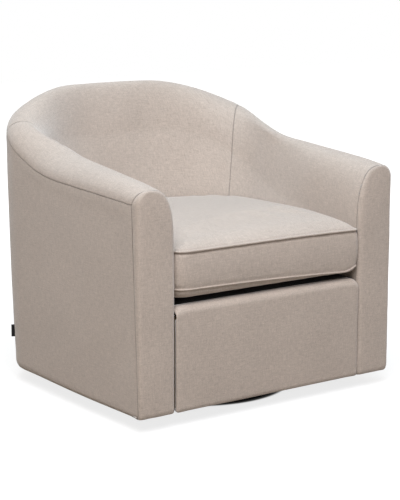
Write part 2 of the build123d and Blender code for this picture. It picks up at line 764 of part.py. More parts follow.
parts = {
    "floor_pad": floor_pad(),
    "base_disc": base_disc(),
    "lower_swivel_plate": swivel_plate(DISC_TOP, LOWER_TOP),
    "lower_plate_screws": Compound([plate_screw(x, y, LOWER_TOP, -1) for x, y in SCREW_SPOTS]),
    "king_pin": king_pin(),
    "ball_cage": ball_cage(),
    "bearing_balls": Compound([p * Sphere(BALL_RADIUS) for p in ball_places()]),
    "upper_swivel_plate": swivel_plate(UPPER_BOTTOM, UPPER_BOTTOM - RACE_HEIGHT),
    "upper_plate_screws": Compound([plate_screw(x, y, UPPER_BOTTOM, 1) for x, y in SCREW_SPOTS]),
    "swivel_slats": Compound([swivel_slat(-1), swivel_slat(1)]),
    "front_rail": block(
        -HALF + ARM_THICKNESS - SKIN, HALF - ARM_THICKNESS + SKIN,
        POST_FRONT, POST_BACK, FRAME_BOTTOM, SEAT_RAIL_TOP,
    ),
    "rear_cross_rail": block(
        -CROSS_HALF, CROSS_HALF,
        SEAT_FRAME_DEPTH - TIMBER, SEAT_FRAME_DEPTH, FRAME_BOTTOM, BOTTOM_RAIL_TOP,
    ),
    "back_seat_rail": block(
        -HALF + FOAM_OUT + DECK_RAIL_WIDTH, HALF - FOAM_OUT - DECK_RAIL_WIDTH,
        SEAT_FRAME_DEPTH - TIMBER, SEAT_FRAME_DEPTH, DECK_RAIL_TOP - SEAT_RAIL, SEAT_RAIL_TOP,
    ),
    "corner_blocks": corner_blocks(),
    "back_bottom_rail": wall(BACK_FRAME_RUN, bottom_rail_outline),
    "back_top_rail": wall(BACK_FRAME_RUN, top_rail_outline),
    "back_tack_rail": wall(back_stations(SEAM), deck_rail_outline),
    "back_straps": back_straps(),
    "seat_springs": Compound([seat_spring(x) for x in SPRING_XS]),
    "spring_clips": Compound([spring_clip(x, y) for x in SPRING_XS for y in (SPRING_FRONT, SPRING_BACK)]),
    "deck_pad": deck_sheet(DECK_PAD_BOTTOM, DECK_PAD),
    "deck_cover": deck_sheet(DECK_COVER_TOP - COVER, COVER),
    "back_foam": wall(BACK_RUN, wall_foam),
    "back_wadding": wall(BACK_RUN, outside_wadding),
    "outside_back_cover": wall(BACK_RUN, outside_cover),
    "inside_back_cover": wall(BACK_RUN, inside_cover),
    "apron_pad": apron_pad(),
    "apron_cover": apron_cover(),
    "dust_cover": dust_cover(),
    "side_tag": side_tag(),
    "cushion_foam": cushion_foam(),
    "cushion_top": cushion_top(),
    "cushion_boxing": cushion_boxing(),
    "cushion_bottom": cushion_bottom(),
    "cushion_top_welt": cushion_welt(TOP_WELT),
    "cushion_bottom_welt": cushion_welt(BOTTOM_WELT),
}
parts.update(side_pair("arm_front_post", arm_front_post()))
parts.update(side_pair("arm_front_pad", arm_front_pad()))
parts.update(side_pair("arm_front_cover", arm_front_cover()))
parts.update(side_pair("back_post", wall(POST_RUN, post_outline)))
parts.update(side_pair("arm_rail", wall(ARM_FRAME_RUN, top_rail_outline)))
parts.update(side_pair("bottom_rail", wall(ARM_FRAME_RUN, bottom_rail_outline)))
parts.update(side_pair("deck_rail", wall(arm_stations(POST_BACK, SEAM), deck_rail_outline)))
parts.update(side_pair("arm_board", wall(ARM_INNER_RUN, board_outline)))
parts.update(side_pair("arm_foam", wall(ARM_INNER_RUN, wall_foam)))
parts.update(side_pair("side_wadding", wall(ARM_INNER_RUN, outside_wadding)))
parts.update(side_pair("outside_cover", wall(ARM_RUN, outside_cover)))
parts.update(side_pair("inside_arm_cover", wall(ARM_RUN, inside_cover)))

os.makedirs("parts", exist_ok=True)
for name, solid in parts.items():
    solid.label = name
    export_step(solid, "parts/" + name + ".step")
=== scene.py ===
"""Swivel tub armchair in a greige plain weave: upholstered body, loose cushion, turning base."""
import math

import bpy
import numpy as np
from mathutils import Matrix, Vector, noise
from mathutils.bvhtree import BVHTree
from mathutils.kdtree import KDTree


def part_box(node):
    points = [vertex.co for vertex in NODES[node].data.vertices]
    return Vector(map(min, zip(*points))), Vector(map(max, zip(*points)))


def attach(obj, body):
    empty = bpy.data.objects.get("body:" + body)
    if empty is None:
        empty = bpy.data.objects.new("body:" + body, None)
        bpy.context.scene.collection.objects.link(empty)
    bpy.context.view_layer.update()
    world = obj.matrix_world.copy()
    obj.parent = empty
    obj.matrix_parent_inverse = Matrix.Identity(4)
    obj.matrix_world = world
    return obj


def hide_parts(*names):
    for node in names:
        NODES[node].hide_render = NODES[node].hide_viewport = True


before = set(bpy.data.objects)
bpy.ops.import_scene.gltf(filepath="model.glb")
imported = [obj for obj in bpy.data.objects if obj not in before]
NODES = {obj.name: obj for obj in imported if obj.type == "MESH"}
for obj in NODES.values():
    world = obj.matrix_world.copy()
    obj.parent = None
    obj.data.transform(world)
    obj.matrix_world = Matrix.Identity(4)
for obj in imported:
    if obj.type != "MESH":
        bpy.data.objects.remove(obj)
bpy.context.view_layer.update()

SCENE = bpy.context.scene
MM = 0.001
HANDS = {"left": -1.0, "right": 1.0}

# Upholstered body in millimetres, as in the part's source
BODY_WIDTH = 788.0
BODY_DEPTH = 756.0
BACK_HEIGHT = 752.0
ARM_FRONT_HEIGHT = 573.0
ARM_SWEEP_HEIGHT = 605.0
ARM_SWEEP_START = 340.0
BACK_LEVEL_HALF = 117.0
CORNER_RADIUS = 150.0
BACK_RADIUS = 690.0
SEAM_ANGLE = 25.0
SWIVEL_SETBACK = 314.0
ARM_THICKNESS = 108.0
BACK_THICKNESS = 118.0
FRONT_BATTER = 4.0
BACK_BATTER = 12.0

# Covers in millimetres, where the scene follows the photo more closely
SEAT_LEVEL = 438.0
SEAT_DEPTH_OF_BACK = 92.0
INSIDE_CORNER = 240.0
INSIDE_SEAM_ANGLE = 24.0
FAN_START = 250.0
BODY_BOTTOM = 35.0
RAIL_BOTTOM = 38.0
TUCK_LEVEL = 262.0
DECK_LEVEL = 287.2
RIGHT_FOOT = 24.0
KNEE_GAP = 5.0
LEAST_LEAN_RUN = 20.0
FACE_BULGE = 3.0
BULGE_RUN = 250.0

# Hems, turned in under the rails
FRONT_HEM_ROLL = 4.0
HEM_ROLL = 12.0
HEM_TURN = 2.5
HEM_REACH = 18.0
HEM_ON_RAIL = RAIL_BOTTOM + 0.6
HEM_TURNS = ((24.0, HEM_ON_RAIL), (10.0, BODY_BOTTOM + 0.8))

# Loose cushion, in millimetres
TOP_WELT = 419.5
TOP_WELT_DROP = 4.0
BOTTOM_WELT = 323.0
BOTTOM_WELT_SLOPE = 10.0
BOTTOM_WELT_BOW = 3.8
CORNER_LIFT = 14.0
CORNER_LIFT_WIDTH = 46.0
CORNER_LIFT_FROM = 10.0
CORNER_LIFT_DEPTH = 80.0
FRONT_LIFT = 18.0
FRONT_LIFT_RUN = 170.0
CUSHION_HALF = 282.5
CUSHION_FRONT = 1.0
CUSHION_MIDDLE = 296.0
CUSHION_SAG = 3.0
CUSHION_BACK_RADIUS = 569.0
CUSHION_BACK_CORNER = 220.0
CUSHION_LEFT_CORNER = 30.0
CUSHION_LEFT_GAP = 2.5
CUSHION_RIGHT_CORNER = 11.0
CUSHION_BASE = DECK_LEVEL + 1.0
CUSHION_COLUMNS = 240
EDGE_RISE = 20.0
EDGE_RUN = 48.0
CROWN_RISE = 21.0
CROWN_X = 120.0
CROWN_Y = 200.0
CROWN_HALF_WIDTH = 403.0
CROWN_FRONT_RUN = 200.0
CROWN_BACK_RUN = 440.0
BOXING_BULGE = 3.0
UNDER_ROUND = 16.0
UNDER_INSETS = (272.0, 240.0, 200.0, 165.0, 130.0, 105.0, 80.0, 55.0, 32.0)
TOP_INSETS = (
    0.0, 3.0, 7.0, 12.0, 18.0, 26.0, 36.0, 50.0, 70.0, 95.0, 125.0, 160.0, 200.0, 240.0, 272.0,
)

# Plans
HALF = BODY_WIDTH / 2
BACK_CENTRE = BODY_DEPTH - BACK_RADIUS


class Plan:
    """Left half of a plan, by the run along it: straight side, round corner and curved back."""

    def __init__(self, half, corner, radius):
        self.half, self.corner, self.radius = half, corner, radius
        self.corner_x = half - corner
        self.straight = BACK_CENTRE + math.sqrt((radius - corner) ** 2 - self.corner_x ** 2)
        self.turn = math.atan2(self.straight - BACK_CENTRE, self.corner_x)
        self.corner_end = self.straight + corner * self.turn
        self.middle = self.corner_end + radius * (math.pi / 2 - self.turn)

    def point(self, run):
        """Place on the plan, and how far the plan has turned there."""
        if run <= self.straight:
            return -self.half, run, 0.0
        if run <= self.corner_end:
            x, y, radius = -self.corner_x, self.straight, self.corner
            turn = (run - self.straight) / radius
        else:
            x, y, radius = 0.0, BACK_CENTRE, self.radius
            turn = self.turn + (run - self.corner_end) / radius
        return x - radius * math.cos(turn), y + radius * math.sin(turn), turn


# Plans of the outside, and of the inside at seat level
OUTER = Plan(HALF, CORNER_RADIUS, BACK_RADIUS)
SIDE_LENGTH, CORNER_END, MIDDLE = OUTER.straight, OUTER.corner_end, OUTER.middle
SEAM = SIDE_LENGTH + CORNER_RADIUS * math.radians(SEAM_ANGLE)
INSIDE_HALF = HALF - ARM_THICKNESS
INNER = Plan(INSIDE_HALF, INSIDE_CORNER, BACK_RADIUS - SEAT_DEPTH_OF_BACK)
INSIDE_SEAM = INNER.straight + INSIDE_CORNER * math.radians(INSIDE_SEAM_ANGLE)
FAN_AT_SEAM = 2 * (INSIDE_SEAM - FAN_START) / (SEAM - FAN_START) - 1
FAN_AT_MIDDLE = 2 * (INNER.middle - INSIDE_SEAM) / (MIDDLE - SEAM) - FAN_AT_SEAM

# How the rolled top changes along half the wall, from the arm front to the middle of the back
STOPS = (0.0, 40.0, 100.0, 200.0, 320.0, 400.0, 450.0, 540.0, SEAM, CORNER_END, 850.0, MIDDLE)
CREST_DEPTH = (33.0, 35.0, 38.0, 45.0, 62.0, 76.0, 76.0, 58.0, 42.0, 36.0, 34.0, 34.0)
CREST_RISE = (-2.0, 4.0, 5.0, 5.0, 7.0, 8.0, 8.0, 4.0, 0.0, 0.0, 0.0, 0.0)
FULLNESS = (2.9, 3.0, 3.1, 3.4, 4.0, 4.0, 3.6, 2.8, 2.3, 2.3, 2.4, 2.4)
ROLL_DEPTH = (158.0, 158.0, 158.0, 158.0, 150.0, 140.0, 135.0, 128.0, 124.0, 124.0, 130.0, 140.0)
RECLINE = (0.0, 0.0, 0.0, 0.0, 5.0, 12.0, 16.0, 28.0, 35.0, 35.0, 30.0, 25.0)

# How far the seam on the outside runs below the ridge
DROP_STOPS = (0.0, ARM_SWEEP_START, 450.0, 540.0, SEAM, MIDDLE)
SEAM_DROPS = (34.0, 49.0, 54.0, 48.0, 33.0, 36.0)

# How far behind the front plane the arm-front seam runs, along the outside and the inside profile
OUTER_SETBACK = 8.0
OUTER_SETBACK_GAIN = 16.0
INNER_SHARES = (0.0, 0.04, 0.125, 0.2, 0.45, 1.0)
INNER_SETBACKS = (24.0, 18.0, 5.0, 6.0, 12.0, 14.0)


# The wall of the tub, as distance s along its outside face, depth d inside it, and height z
def blend(u):
    u = min(max(u, 0.0), 1.0)
    return u * u * (3 - 2 * u)


def between(s, arm, back):
    """A wall size that changes along the arm and stays as it is from the corner seam on."""
    return arm + (back - arm) * blend((s - SEAM / 3) / (SEAM * 2 / 3))


def folded(s):
    return s if s <= MIDDLE else 2 * MIDDLE - s


def outside(s):
    """Plan point of the outside face and its inward normal."""
    x, y, turn = OUTER.point(folded(s))
    side = -1.0 if s > MIDDLE else 1.0
    return side * x, y, side * math.cos(turn), -math.sin(turn)


def at(s, d, z):
    """Point at a depth straight in from the outside face."""
    x, y, nx, ny = outside(s)
    return (x + d * nx, y + d * ny - SWIVEL_SETBACK, z)


def ridge(s):
    """Height of the top of the wall."""
    u = folded(s)
    slope = (ARM_SWEEP_HEIGHT - ARM_FRONT_HEIGHT) / ARM_SWEEP_START
    if u <= ARM_SWEEP_START:
        return ARM_FRONT_HEIGHT + slope * u
    run = MIDDLE - BACK_LEVEL_HALF - ARM_SWEEP_START
    t = min((u - ARM_SWEEP_START) / run, 1.0)
    start = (2 * t ** 3 - 3 * t ** 2 + 1) * ARM_SWEEP_HEIGHT
    lead = (t ** 3 - 2 * t ** 2 + t) * run * slope
    return start + lead + (3 * t ** 2 - 2 * t ** 3) * BACK_HEIGHT


def seam_level(s):
    """Height of the seam on the outside."""
    return ridge(s) - float(np.interp(folded(s), DROP_STOPS, SEAM_DROPS))


def inside_reach(s):
    """Distance along the inside plan that faces s on the outside; the ribs fan out at the corners."""
    if s <= FAN_START:
        return s
    if s <= SEAM:
        t = (s - FAN_START) / (SEAM - FAN_START)
        return FAN_START + (s - FAN_START) * (1 + (FAN_AT_SEAM - 1) * t / 2)
    t = (s - SEAM) / (MIDDLE - SEAM)
    return INSIDE_SEAM + (s - SEAM) * (FAN_AT_SEAM + (FAN_AT_MIDDLE - FAN_AT_SEAM) * t / 2)


def rib(s):
    """Plan line across the wall: its outside point, its direction and its length at seat level."""
    u = folded(s)
    x, y = outside(u)[:2]
    far_x, far_y = INNER.point(inside_reach(u))[:2]
    length = math.hypot(far_x - x, far_y - y)
    dx, dy = (far_x - x) / length, (far_y - y) / length
    if s > MIDDLE:
        x, dx = -x, -dx
    return x, y, dx, dy, length


def across(s, d, z):
    """Point at a depth along a rib."""
    x, y, dx, dy = rib(s)[:4]
    return (x + d * dx, y + d * dy - SWIVEL_SETBACK, z)


def eased(values, step=4.0, reach=12):
    """Values at the stops, smoothed into an even change along the wall."""
    places = np.arange(0.0, MIDDLE + step, step)
    fine = np.interp(places, STOPS, values)
    wide = np.r_[np.full(reach, fine[0]), fine, fine[-2:-2 - reach:-1]]
    window = np.hanning(2 * reach + 3)[1:-1]
    return places, np.convolve(wide, window / window.sum(), "valid")


WALL_LINES = [eased(values) for values in (CREST_DEPTH, CREST_RISE, FULLNESS, ROLL_DEPTH, RECLINE)]


def inside_profile(s):
    """Rolled top and inside face as (d, z) points, from the outside seam over to the tuck."""
    u = folded(s)
    crest, rise, full, roll, lean = (float(np.interp(u, *line)) for line in WALL_LINES)
    inner = rib(u)[4]
    top = ridge(u) + rise
    seam = seam_level(u)
    knee = top - roll
    level = min(SEAT_LEVEL, knee - KNEE_GAP)
    past_corner = blend((u - CORNER_END) / (MIDDLE - CORNER_END))
    tuck = inner + (BACK_THICKNESS - SEAT_DEPTH_OF_BACK) * past_corner
    shoulder = inner - lean
    slope = 0.5 * lean / max(knee - SEAT_LEVEL, LEAST_LEAN_RUN)
    turn = np.linspace(0.0, math.pi / 2, 40)
    out_d = crest * (1 - np.cos(turn))
    out_z = seam + (top - seam) * np.sin(turn)
    down = turn[::-1][1:]
    in_z = knee + roll * np.sin(down) ** (2 / full)
    reach = shoulder - slope * roll - crest
    in_d = shoulder - slope * (in_z - knee) - reach * (1 - np.cos(down) ** (2 / full))
    drop = np.linspace(0.0, 1.0, 10)[1:]
    low_d = np.r_[shoulder + (inner - shoulder) * drop, inner + (tuck - inner) * drop]
    low_z = np.r_[knee + (level - knee) * drop, level + (TUCK_LEVEL - level) * drop]
    return np.column_stack([np.r_[out_d, in_d, low_d], np.r_[out_z, in_z, low_z]])


def outside_profile(s):
    """Outside face as (d, z) points, from the hem turned under the frame up to the seam."""
    u = folded(s)
    lean = between(u, FRONT_BATTER, BACK_BATTER)
    roll = between(u, FRONT_HEM_ROLL, HEM_ROLL)
    turn = np.linspace(-math.pi / 2, 0.0, 12)
    hem_d = lean + roll - roll * np.cos(turn)
    hem_z = BODY_BOTTOM + roll + roll * np.sin(turn)
    rise = np.linspace(0.0, 1.0, 50)[1:]
    bulge = FACE_BULGE * np.sin(math.pi * rise) * blend(u / BULGE_RUN)
    face_d = lean * (1 - rise) - bulge
    face_z = BODY_BOTTOM + roll + (seam_level(s) - BODY_BOTTOM - roll) * rise
    under = [[lean + roll + inward, level] for inward, level in HEM_TURNS]
    return np.vstack([under, np.column_stack([np.r_[hem_d, face_d], np.r_[hem_z, face_z]])])


def steps_of(points):
    return np.linalg.norm(np.diff(points, axis=0), axis=1)


def along(profile, share):
    """Points at shares of a profile's length."""
    run = np.r_[0.0, np.cumsum(steps_of(profile))]
    share = np.asarray(share) * run[-1]
    return np.column_stack([np.interp(share, run, profile[:, k]) for k in range(profile.shape[1])])


def front_setback(share, outer):
    """How far behind the front plane the arm-front seam runs."""
    if outer:
        return OUTER_SETBACK + OUTER_SETBACK_GAIN * share
    return float(np.interp(share, INNER_SHARES, INNER_SETBACKS))


# Soft panels: grids of points with their edges turned down into the seams
EDGE_STEPS = (0.0, 0.35, 0.8, 1.5, 3.0, 6.5)
# Width in millimetres of the painted shade laid along sewn borders, where shade falls in the seam
SEAM_SHADE = 1.3
SWELL_PLACE = 16.0
SWELL_WIDTH = 11.0
PUCKER_SCALE = 0.045
PUCKER_REACH = 16.0
SEED_SHIFT = 7.3
UNEVEN_SCALE = 0.011
UNEVEN_DEPTH = 0.7
COVER_THICKNESS = 2.2
LINING_THICKNESS = 0.5
TINY = 1e-9


def spread(length, step, fine_start=True, fine_end=True):
    """Shares of a length, closer together next to a seam."""
    head = list(EDGE_STEPS) if fine_start else [0.0]
    tail = [length - e for e in EDGE_STEPS] if fine_end else [length]
    count = max(1, round((tail[-1] - head[-1]) / step))
    middle = [head[-1] + (tail[-1] - head[-1]) * k / count for k in range(1, count)]
    return [t / length for t in head + middle + tail[::-1]]


def ripple(point, scale, seed):
    x, y, z = (c * scale for c in point)
    return noise.noise(Vector((x + seed * SEED_SHIFT, y, z)))


def seam_form(distance, radius):
    """Depth of the turned-down edge at a distance from the seam."""
    near = np.clip(1 - distance / radius, 0.0, 1.0)
    return radius * (1 - np.sqrt(1 - near ** 2))


def quads(rows, columns, closed=False):
    """Faces over rows of points; closed rows are joined end to end, and face the other way."""
    faces = []
    for i in range(rows - 1):
        for j in range(columns if closed else columns - 1):
            a, b = i * columns + j, i * columns + (j + 1) % columns
            faces.append((a, b, b + columns, a + columns) if closed else (a, a + columns, b + columns, b))
    return faces


def place_piece(name, data):
    piece = bpy.data.objects.new(name, data)
    SCENE.collection.objects.link(piece)
    return piece


def shade_smooth(mesh):
    mesh.polygons.foreach_set("use_smooth", [True] * len(mesh.polygons))


def mesh_piece(name, points, faces, uv=None, material=None):
    mesh = bpy.data.meshes.new(name)
    mesh.from_pydata([tuple(c * MM for c in p) for p in points], [], faces)
    if uv is not None:
        layer = mesh.uv_layers.new(name="weave")
        for loop in mesh.loops:
            u, v = uv[loop.vertex_index]
            layer.data[loop.index].uv = (u * MM, v * MM)
    shade_smooth(mesh)
    if material:
        mesh.materials.append(material)
    return place_piece(name, mesh)


def set_all(owner, **values):
    for name, value in values.items():
        setattr(owner, name, value)


def thicken(piece, thickness):
    cloth = piece.modifiers.new("cloth thickness", "SOLIDIFY")
    set_all(cloth, thickness=thickness * MM, offset=-1.0)


def soft_panel(name, grid, seams, material, seed, flip=False, radius=1.5, swell=0.7, pucker=0.4):
    """Upholstered panel from a grid of points; seams name the borders that are sewn, and these get painted
    shade.
    """
    points = np.array(grid, float)
    rows, columns = points.shape[:2]
    normal = np.cross(np.gradient(points, axis=0), np.gradient(points, axis=1))
    normal /= np.maximum(np.linalg.norm(normal, axis=2, keepdims=True), TINY)
    faces = quads(rows, columns)
    if flip:
        normal = -normal
        faces = [face[::-1] for face in faces]
    step_a = np.linalg.norm(np.diff(points, axis=0), axis=2)
    step_b = np.linalg.norm(np.diff(points, axis=1), axis=2)
    run_a = np.vstack([np.zeros((1, columns)), np.cumsum(step_a, axis=0)])
    run_b = np.hstack([np.zeros((rows, 1)), np.cumsum(step_b, axis=1)])
    border = {
        "start": run_a, "end": run_a[-1:] - run_a,
        "low": run_b, "high": run_b[:, -1:] - run_b,
    }
    push = np.zeros((rows, columns))
    painted_seam_shade = np.zeros((rows, columns))
    wave = np.array([[ripple(p, PUCKER_SCALE, seed) for p in row] for row in points])
    broad = np.array([[ripple(p, UNEVEN_SCALE, seed + 3) for p in row] for row in points])
    for side in seams:
        t = border[side]
        push -= seam_form(t, radius)
        painted_seam_shade = np.maximum(painted_seam_shade, np.exp(-(t / SEAM_SHADE) ** 2))
        push += swell * np.exp(-((t - SWELL_PLACE) / SWELL_WIDTH) ** 2)
        push += pucker * wave * np.exp(-t / PUCKER_REACH)
    push += UNEVEN_DEPTH * broad
    points += normal * push[..., None]
    uv = np.column_stack([run_a.ravel(), run_b.ravel()])
    piece = mesh_piece(name, points.reshape(-1, 3), faces, uv, material)
    # Painted shade: the seam attribute darkens the cloth colour next to each sewn border
    shade = piece.data.attributes.new("seam", "FLOAT", "POINT")
    shade.data.foreach_set("value", painted_seam_shade.ravel())
    thicken(piece, COVER_THICKNESS)
    return piece


def handed(grid, side):
    """A grid made for the left, as it is or mirrored to the right."""
    return np.array(grid) * np.array([-side, 1.0, 1.0])


# Node trees
def feed(tree, node, inputs):
    """Give each input of a node its value, or link it to another node's output."""
    for socket, value in inputs.items():
        if isinstance(value, bpy.types.NodeSocket):
            tree.links.new(value, node.inputs[socket])
        else:
            node.inputs[socket].default_value = value


def add_node(tree, kind, inputs, **properties):
    """New node with its properties set and its inputs fed; gives its outputs."""
    node = tree.nodes.new(kind)
    set_all(node, **properties)
    feed(tree, node, inputs)
    return node.outputs


def math_node(tree, operation, *values):
    return add_node(tree, "ShaderNodeMath", dict(enumerate(values)), operation=operation)[0]


def colour_mix(tree, factor, first, second):
    return add_node(tree, "ShaderNodeMix", {"Factor": factor, 6: first, 7: second}, data_type="RGBA")[2]


def node_group(name, kind, inputs, outputs):
    """Node group with its sockets; gives the group, what is given to it and its output node."""
    group = bpy.data.node_groups.new(name, kind)
    for label, socket_type, value in inputs:
        socket = group.interface.new_socket(name=label, in_out="INPUT", socket_type=socket_type)
        if value is not None:
            socket.default_value = value
    for label, socket_type in outputs:
        group.interface.new_socket(name=label, in_out="OUTPUT", socket_type=socket_type)
    return group, add_node(group, "NodeGroupInput", {}), group.nodes.new("NodeGroupOutput")


# Plain weave: how tones run along the threads, and what share relief and slubs have
ACROSS_THREADS = 0.37
ALONG_THREADS = 0.07
SLUB_CONTRAST = 2.4
SLUB_HEIGHT = 0.4
MEAN_RELIEF = 0.6
RELIEF_SHARE = 0.5
WEAVE_ROUGHNESS = 0.97
POLISH_ON_TOP = -0.08


def plain_weave_group():
    """Warp and weft crossing over and under, with thicker threads here and there."""
    group, given, sink = node_group(
        "plain weave", "ShaderNodeTree",
        [
            ("Vector", "NodeSocketVector", None),
            ("Thread", "NodeSocketFloat", 0.0011),
            ("Slub", "NodeSocketFloat", 0.5),
            ("Light thread", "NodeSocketColor", (0.6, 0.5, 0.4, 1.0)),
            ("Dark thread", "NodeSocketColor", (0.4, 0.3, 0.25, 1.0)),
        ],
        [("Color", "NodeSocketColor"), ("Height", "NodeSocketFloat"), ("Roughness", "NodeSocketFloat")],
    )

    def work(operation, *values):
        return math_node(group, operation, *values)

    place = add_node(group, "ShaderNodeSeparateXYZ", {0: given["Vector"]})
    warp_at = work("DIVIDE", place[0], given["Thread"])
    weft_at = work("DIVIDE", place[1], given["Thread"])
    crossing = work("ADD", work("FLOOR", warp_at), work("FLOOR", weft_at))
    over = work("ABSOLUTE", work("MODULO", crossing, 2.0))
    under = work("SUBTRACT", 1.0, over)

    def thread(count):
        """Round top of a thread."""
        return work("ABSOLUTE", work("SINE", work("MULTIPLY", count, math.pi)))

    def streaks(warp_scale, weft_scale):
        """Tones that run on along the threads of one direction."""
        spot = {0: work("MULTIPLY", warp_at, warp_scale), 1: work("MULTIPLY", weft_at, weft_scale)}
        spot = add_node(group, "ShaderNodeCombineXYZ", spot)[0]
        looks = {"Vector": spot, "Scale": 1.0, "Detail": 3.0, "Roughness": 0.6}
        return add_node(group, "ShaderNodeTexNoise", looks)["Fac"]

    def on_top(warp, weft):
        """What the thread that lies on top shows."""
        return work("ADD", work("MULTIPLY", warp, over), work("MULTIPLY", weft, under))

    relief = on_top(thread(warp_at), thread(weft_at))
    warp_tone = streaks(ACROSS_THREADS, ALONG_THREADS)
    weft_tone = streaks(ALONG_THREADS, ACROSS_THREADS)
    tone = work("SUBTRACT", on_top(warp_tone, weft_tone), 0.5)
    tone = work("MULTIPLY", tone, work("MULTIPLY", given["Slub"], SLUB_CONTRAST))
    depth = work("MULTIPLY", work("SUBTRACT", relief, MEAN_RELIEF), RELIEF_SHARE)
    share = work("ADD", work("ADD", tone, depth), 0.5)
    share = add_node(group, "ShaderNodeClamp", {"Value": share})[0]
    slub = work("MULTIPLY", work("ADD", warp_tone, weft_tone), SLUB_HEIGHT)
    feed(group, sink, {
        "Color": colour_mix(group, share, given["Dark thread"], given["Light thread"]),
        "Height": work("ADD", relief, slub),
        "Roughness": work("ADD", work("MULTIPLY", relief, POLISH_ON_TOP), WEAVE_ROUGHNESS),
    })
    return group


def mottle_group():
    """Soft cloudy variation and fine grain, as a mask and a height."""
    group, given, sink = node_group(
        "cloudy grain", "ShaderNodeTree",
        [
            ("Vector", "NodeSocketVector", None),
            ("Cloud", "NodeSocketFloat", 12.0),
            ("Grain", "NodeSocketFloat", 400.0),
            ("Grain share", "NodeSocketFloat", 0.3),
        ],
        [("Mask", "NodeSocketFloat"), ("Height", "NodeSocketFloat")],
    )

    def clouds(scale):
        looks = {"Vector": given["Vector"], "Scale": scale, "Detail": 4.0}
        return add_node(group, "ShaderNodeTexNoise", looks)["Fac"]

    cloud = clouds(given["Cloud"])
    grain = clouds(given["Grain"])
    rest = math_node(group, "SUBTRACT", 1.0, given["Grain share"])
    coarse = math_node(group, "MULTIPLY", cloud, rest)
    fine = math_node(group, "MULTIPLY", grain, given["Grain share"])
    feed(group, sink, {"Mask": math_node(group, "ADD", coarse, fine), "Height": grain})
    return group


WEAVE = plain_weave_group()
MOTTLE = mottle_group()

# Finishes
# Painted shade in the seams: the share by which the cloth colour darkens at a sewn border
SEAM_SHADE_PAINT = 0.42
CLOTH_CLOUD = 9.0
CLOTH_GRAIN = 420.0
CLOTH_GRAIN_SHARE = 0.75
CLOTH_CONTRAST = 0.68
ROUGHNESS_SPREAD = 0.25


def finish(name):
    material = bpy.data.materials.new(name)
    material.use_nodes = True
    tree = material.node_tree
    shader = next(n for n in tree.nodes if n.type == "BSDF_PRINCIPLED")
    return material, tree, shader


def mottle(tree, cloud, grain, share, stretch=(1, 1, 1)):
    """Cloudy grain laid over a piece in its own axes."""
    place = add_node(tree, "ShaderNodeTexCoord", {})["Object"]
    place = add_node(tree, "ShaderNodeMapping", {"Vector": place, "Scale": stretch})[0]
    looks = {"Vector": place, "Cloud": cloud, "Grain": grain, "Grain share": share}
    return add_node(tree, "ShaderNodeGroup", looks, node_tree=MOTTLE)


def bump(tree, height, strength, distance):
    looks = {"Height": height, "Strength": strength, "Distance": distance}
    return add_node(tree, "ShaderNodeBump", looks)[0]


def cloth_finish(name, light, dark, thread, slub, turn=0.0, sheen=0.6):
    """Woven cloth with painted shade along its seams; the weave follows the piece's own map of the cloth."""
    material, tree, shader = finish(name)
    place = add_node(tree, "ShaderNodeUVMap", {}, uv_map="weave")[0]
    place = add_node(tree, "ShaderNodeMapping", {"Vector": place, "Rotation": (0.0, 0.0, turn)})[0]
    looks = {"Vector": place, "Thread": thread, "Slub": slub, "Light thread": light, "Dark thread": dark}
    weave = add_node(tree, "ShaderNodeGroup", looks, node_tree=WEAVE)
    mask = mottle(tree, CLOTH_CLOUD, CLOTH_GRAIN, CLOTH_GRAIN_SHARE)["Mask"]
    lift = math_node(tree, "MULTIPLY", math_node(tree, "SUBTRACT", mask, 0.5), CLOTH_CONTRAST)
    lift = math_node(tree, "ADD", lift, 1.0)
    # Painted seam shade, read from the panel's seam attribute
    seam = add_node(tree, "ShaderNodeAttribute", {}, attribute_name="seam")["Fac"]
    shadow = math_node(tree, "SUBTRACT", 1.0, math_node(tree, "MULTIPLY", seam, SEAM_SHADE_PAINT))
    tint = {0: weave["Color"], "Scale": math_node(tree, "MULTIPLY", lift, shadow)}
    feed(tree, shader, {
        "Base Color": add_node(tree, "ShaderNodeVectorMath", tint, operation="SCALE")[0],
        "Roughness": weave["Roughness"],
        "Specular IOR Level": 0.2,
        "Sheen Weight": sheen,
        "Sheen Roughness": 0.5,
        "Normal": bump(tree, weave["Height"], 0.35, 0.0004),
    })
    return material


def grained_finish(
    name, light, dark, cloud, grain, share, rough,
    metallic=0.0, relief=0.2, stretch=(1, 1, 1), gloss=0.5,
):
    """Painted, plated, moulded or wooden finish with cloudy variation and a fine grain."""
    material, tree, shader = finish(name)
    spots = mottle(tree, cloud, grain, share, stretch)
    uneven = math_node(tree, "MULTIPLY", spots["Mask"], ROUGHNESS_SPREAD)
    feed(tree, shader, {
        "Base Color": colour_mix(tree, spots["Mask"], dark, light),
        "Roughness": math_node(tree, "ADD", uneven, rough),
        "Metallic": metallic,
        "Specular IOR Level": gloss,
        "Normal": bump(tree, spots["Height"], relief, 0.0005),
    })
    return material


GREIGE_THREADS = ((0.585, 0.497, 0.432, 1), (0.37, 0.308, 0.263, 1))
GREIGE = cloth_finish("greige plain weave", *GREIGE_THREADS, 0.0013, 0.8)
GREIGE_BIAS = cloth_finish(
    "greige weave cut on the bias", *GREIGE_THREADS, 0.0013, 0.6, turn=math.radians(45)
)
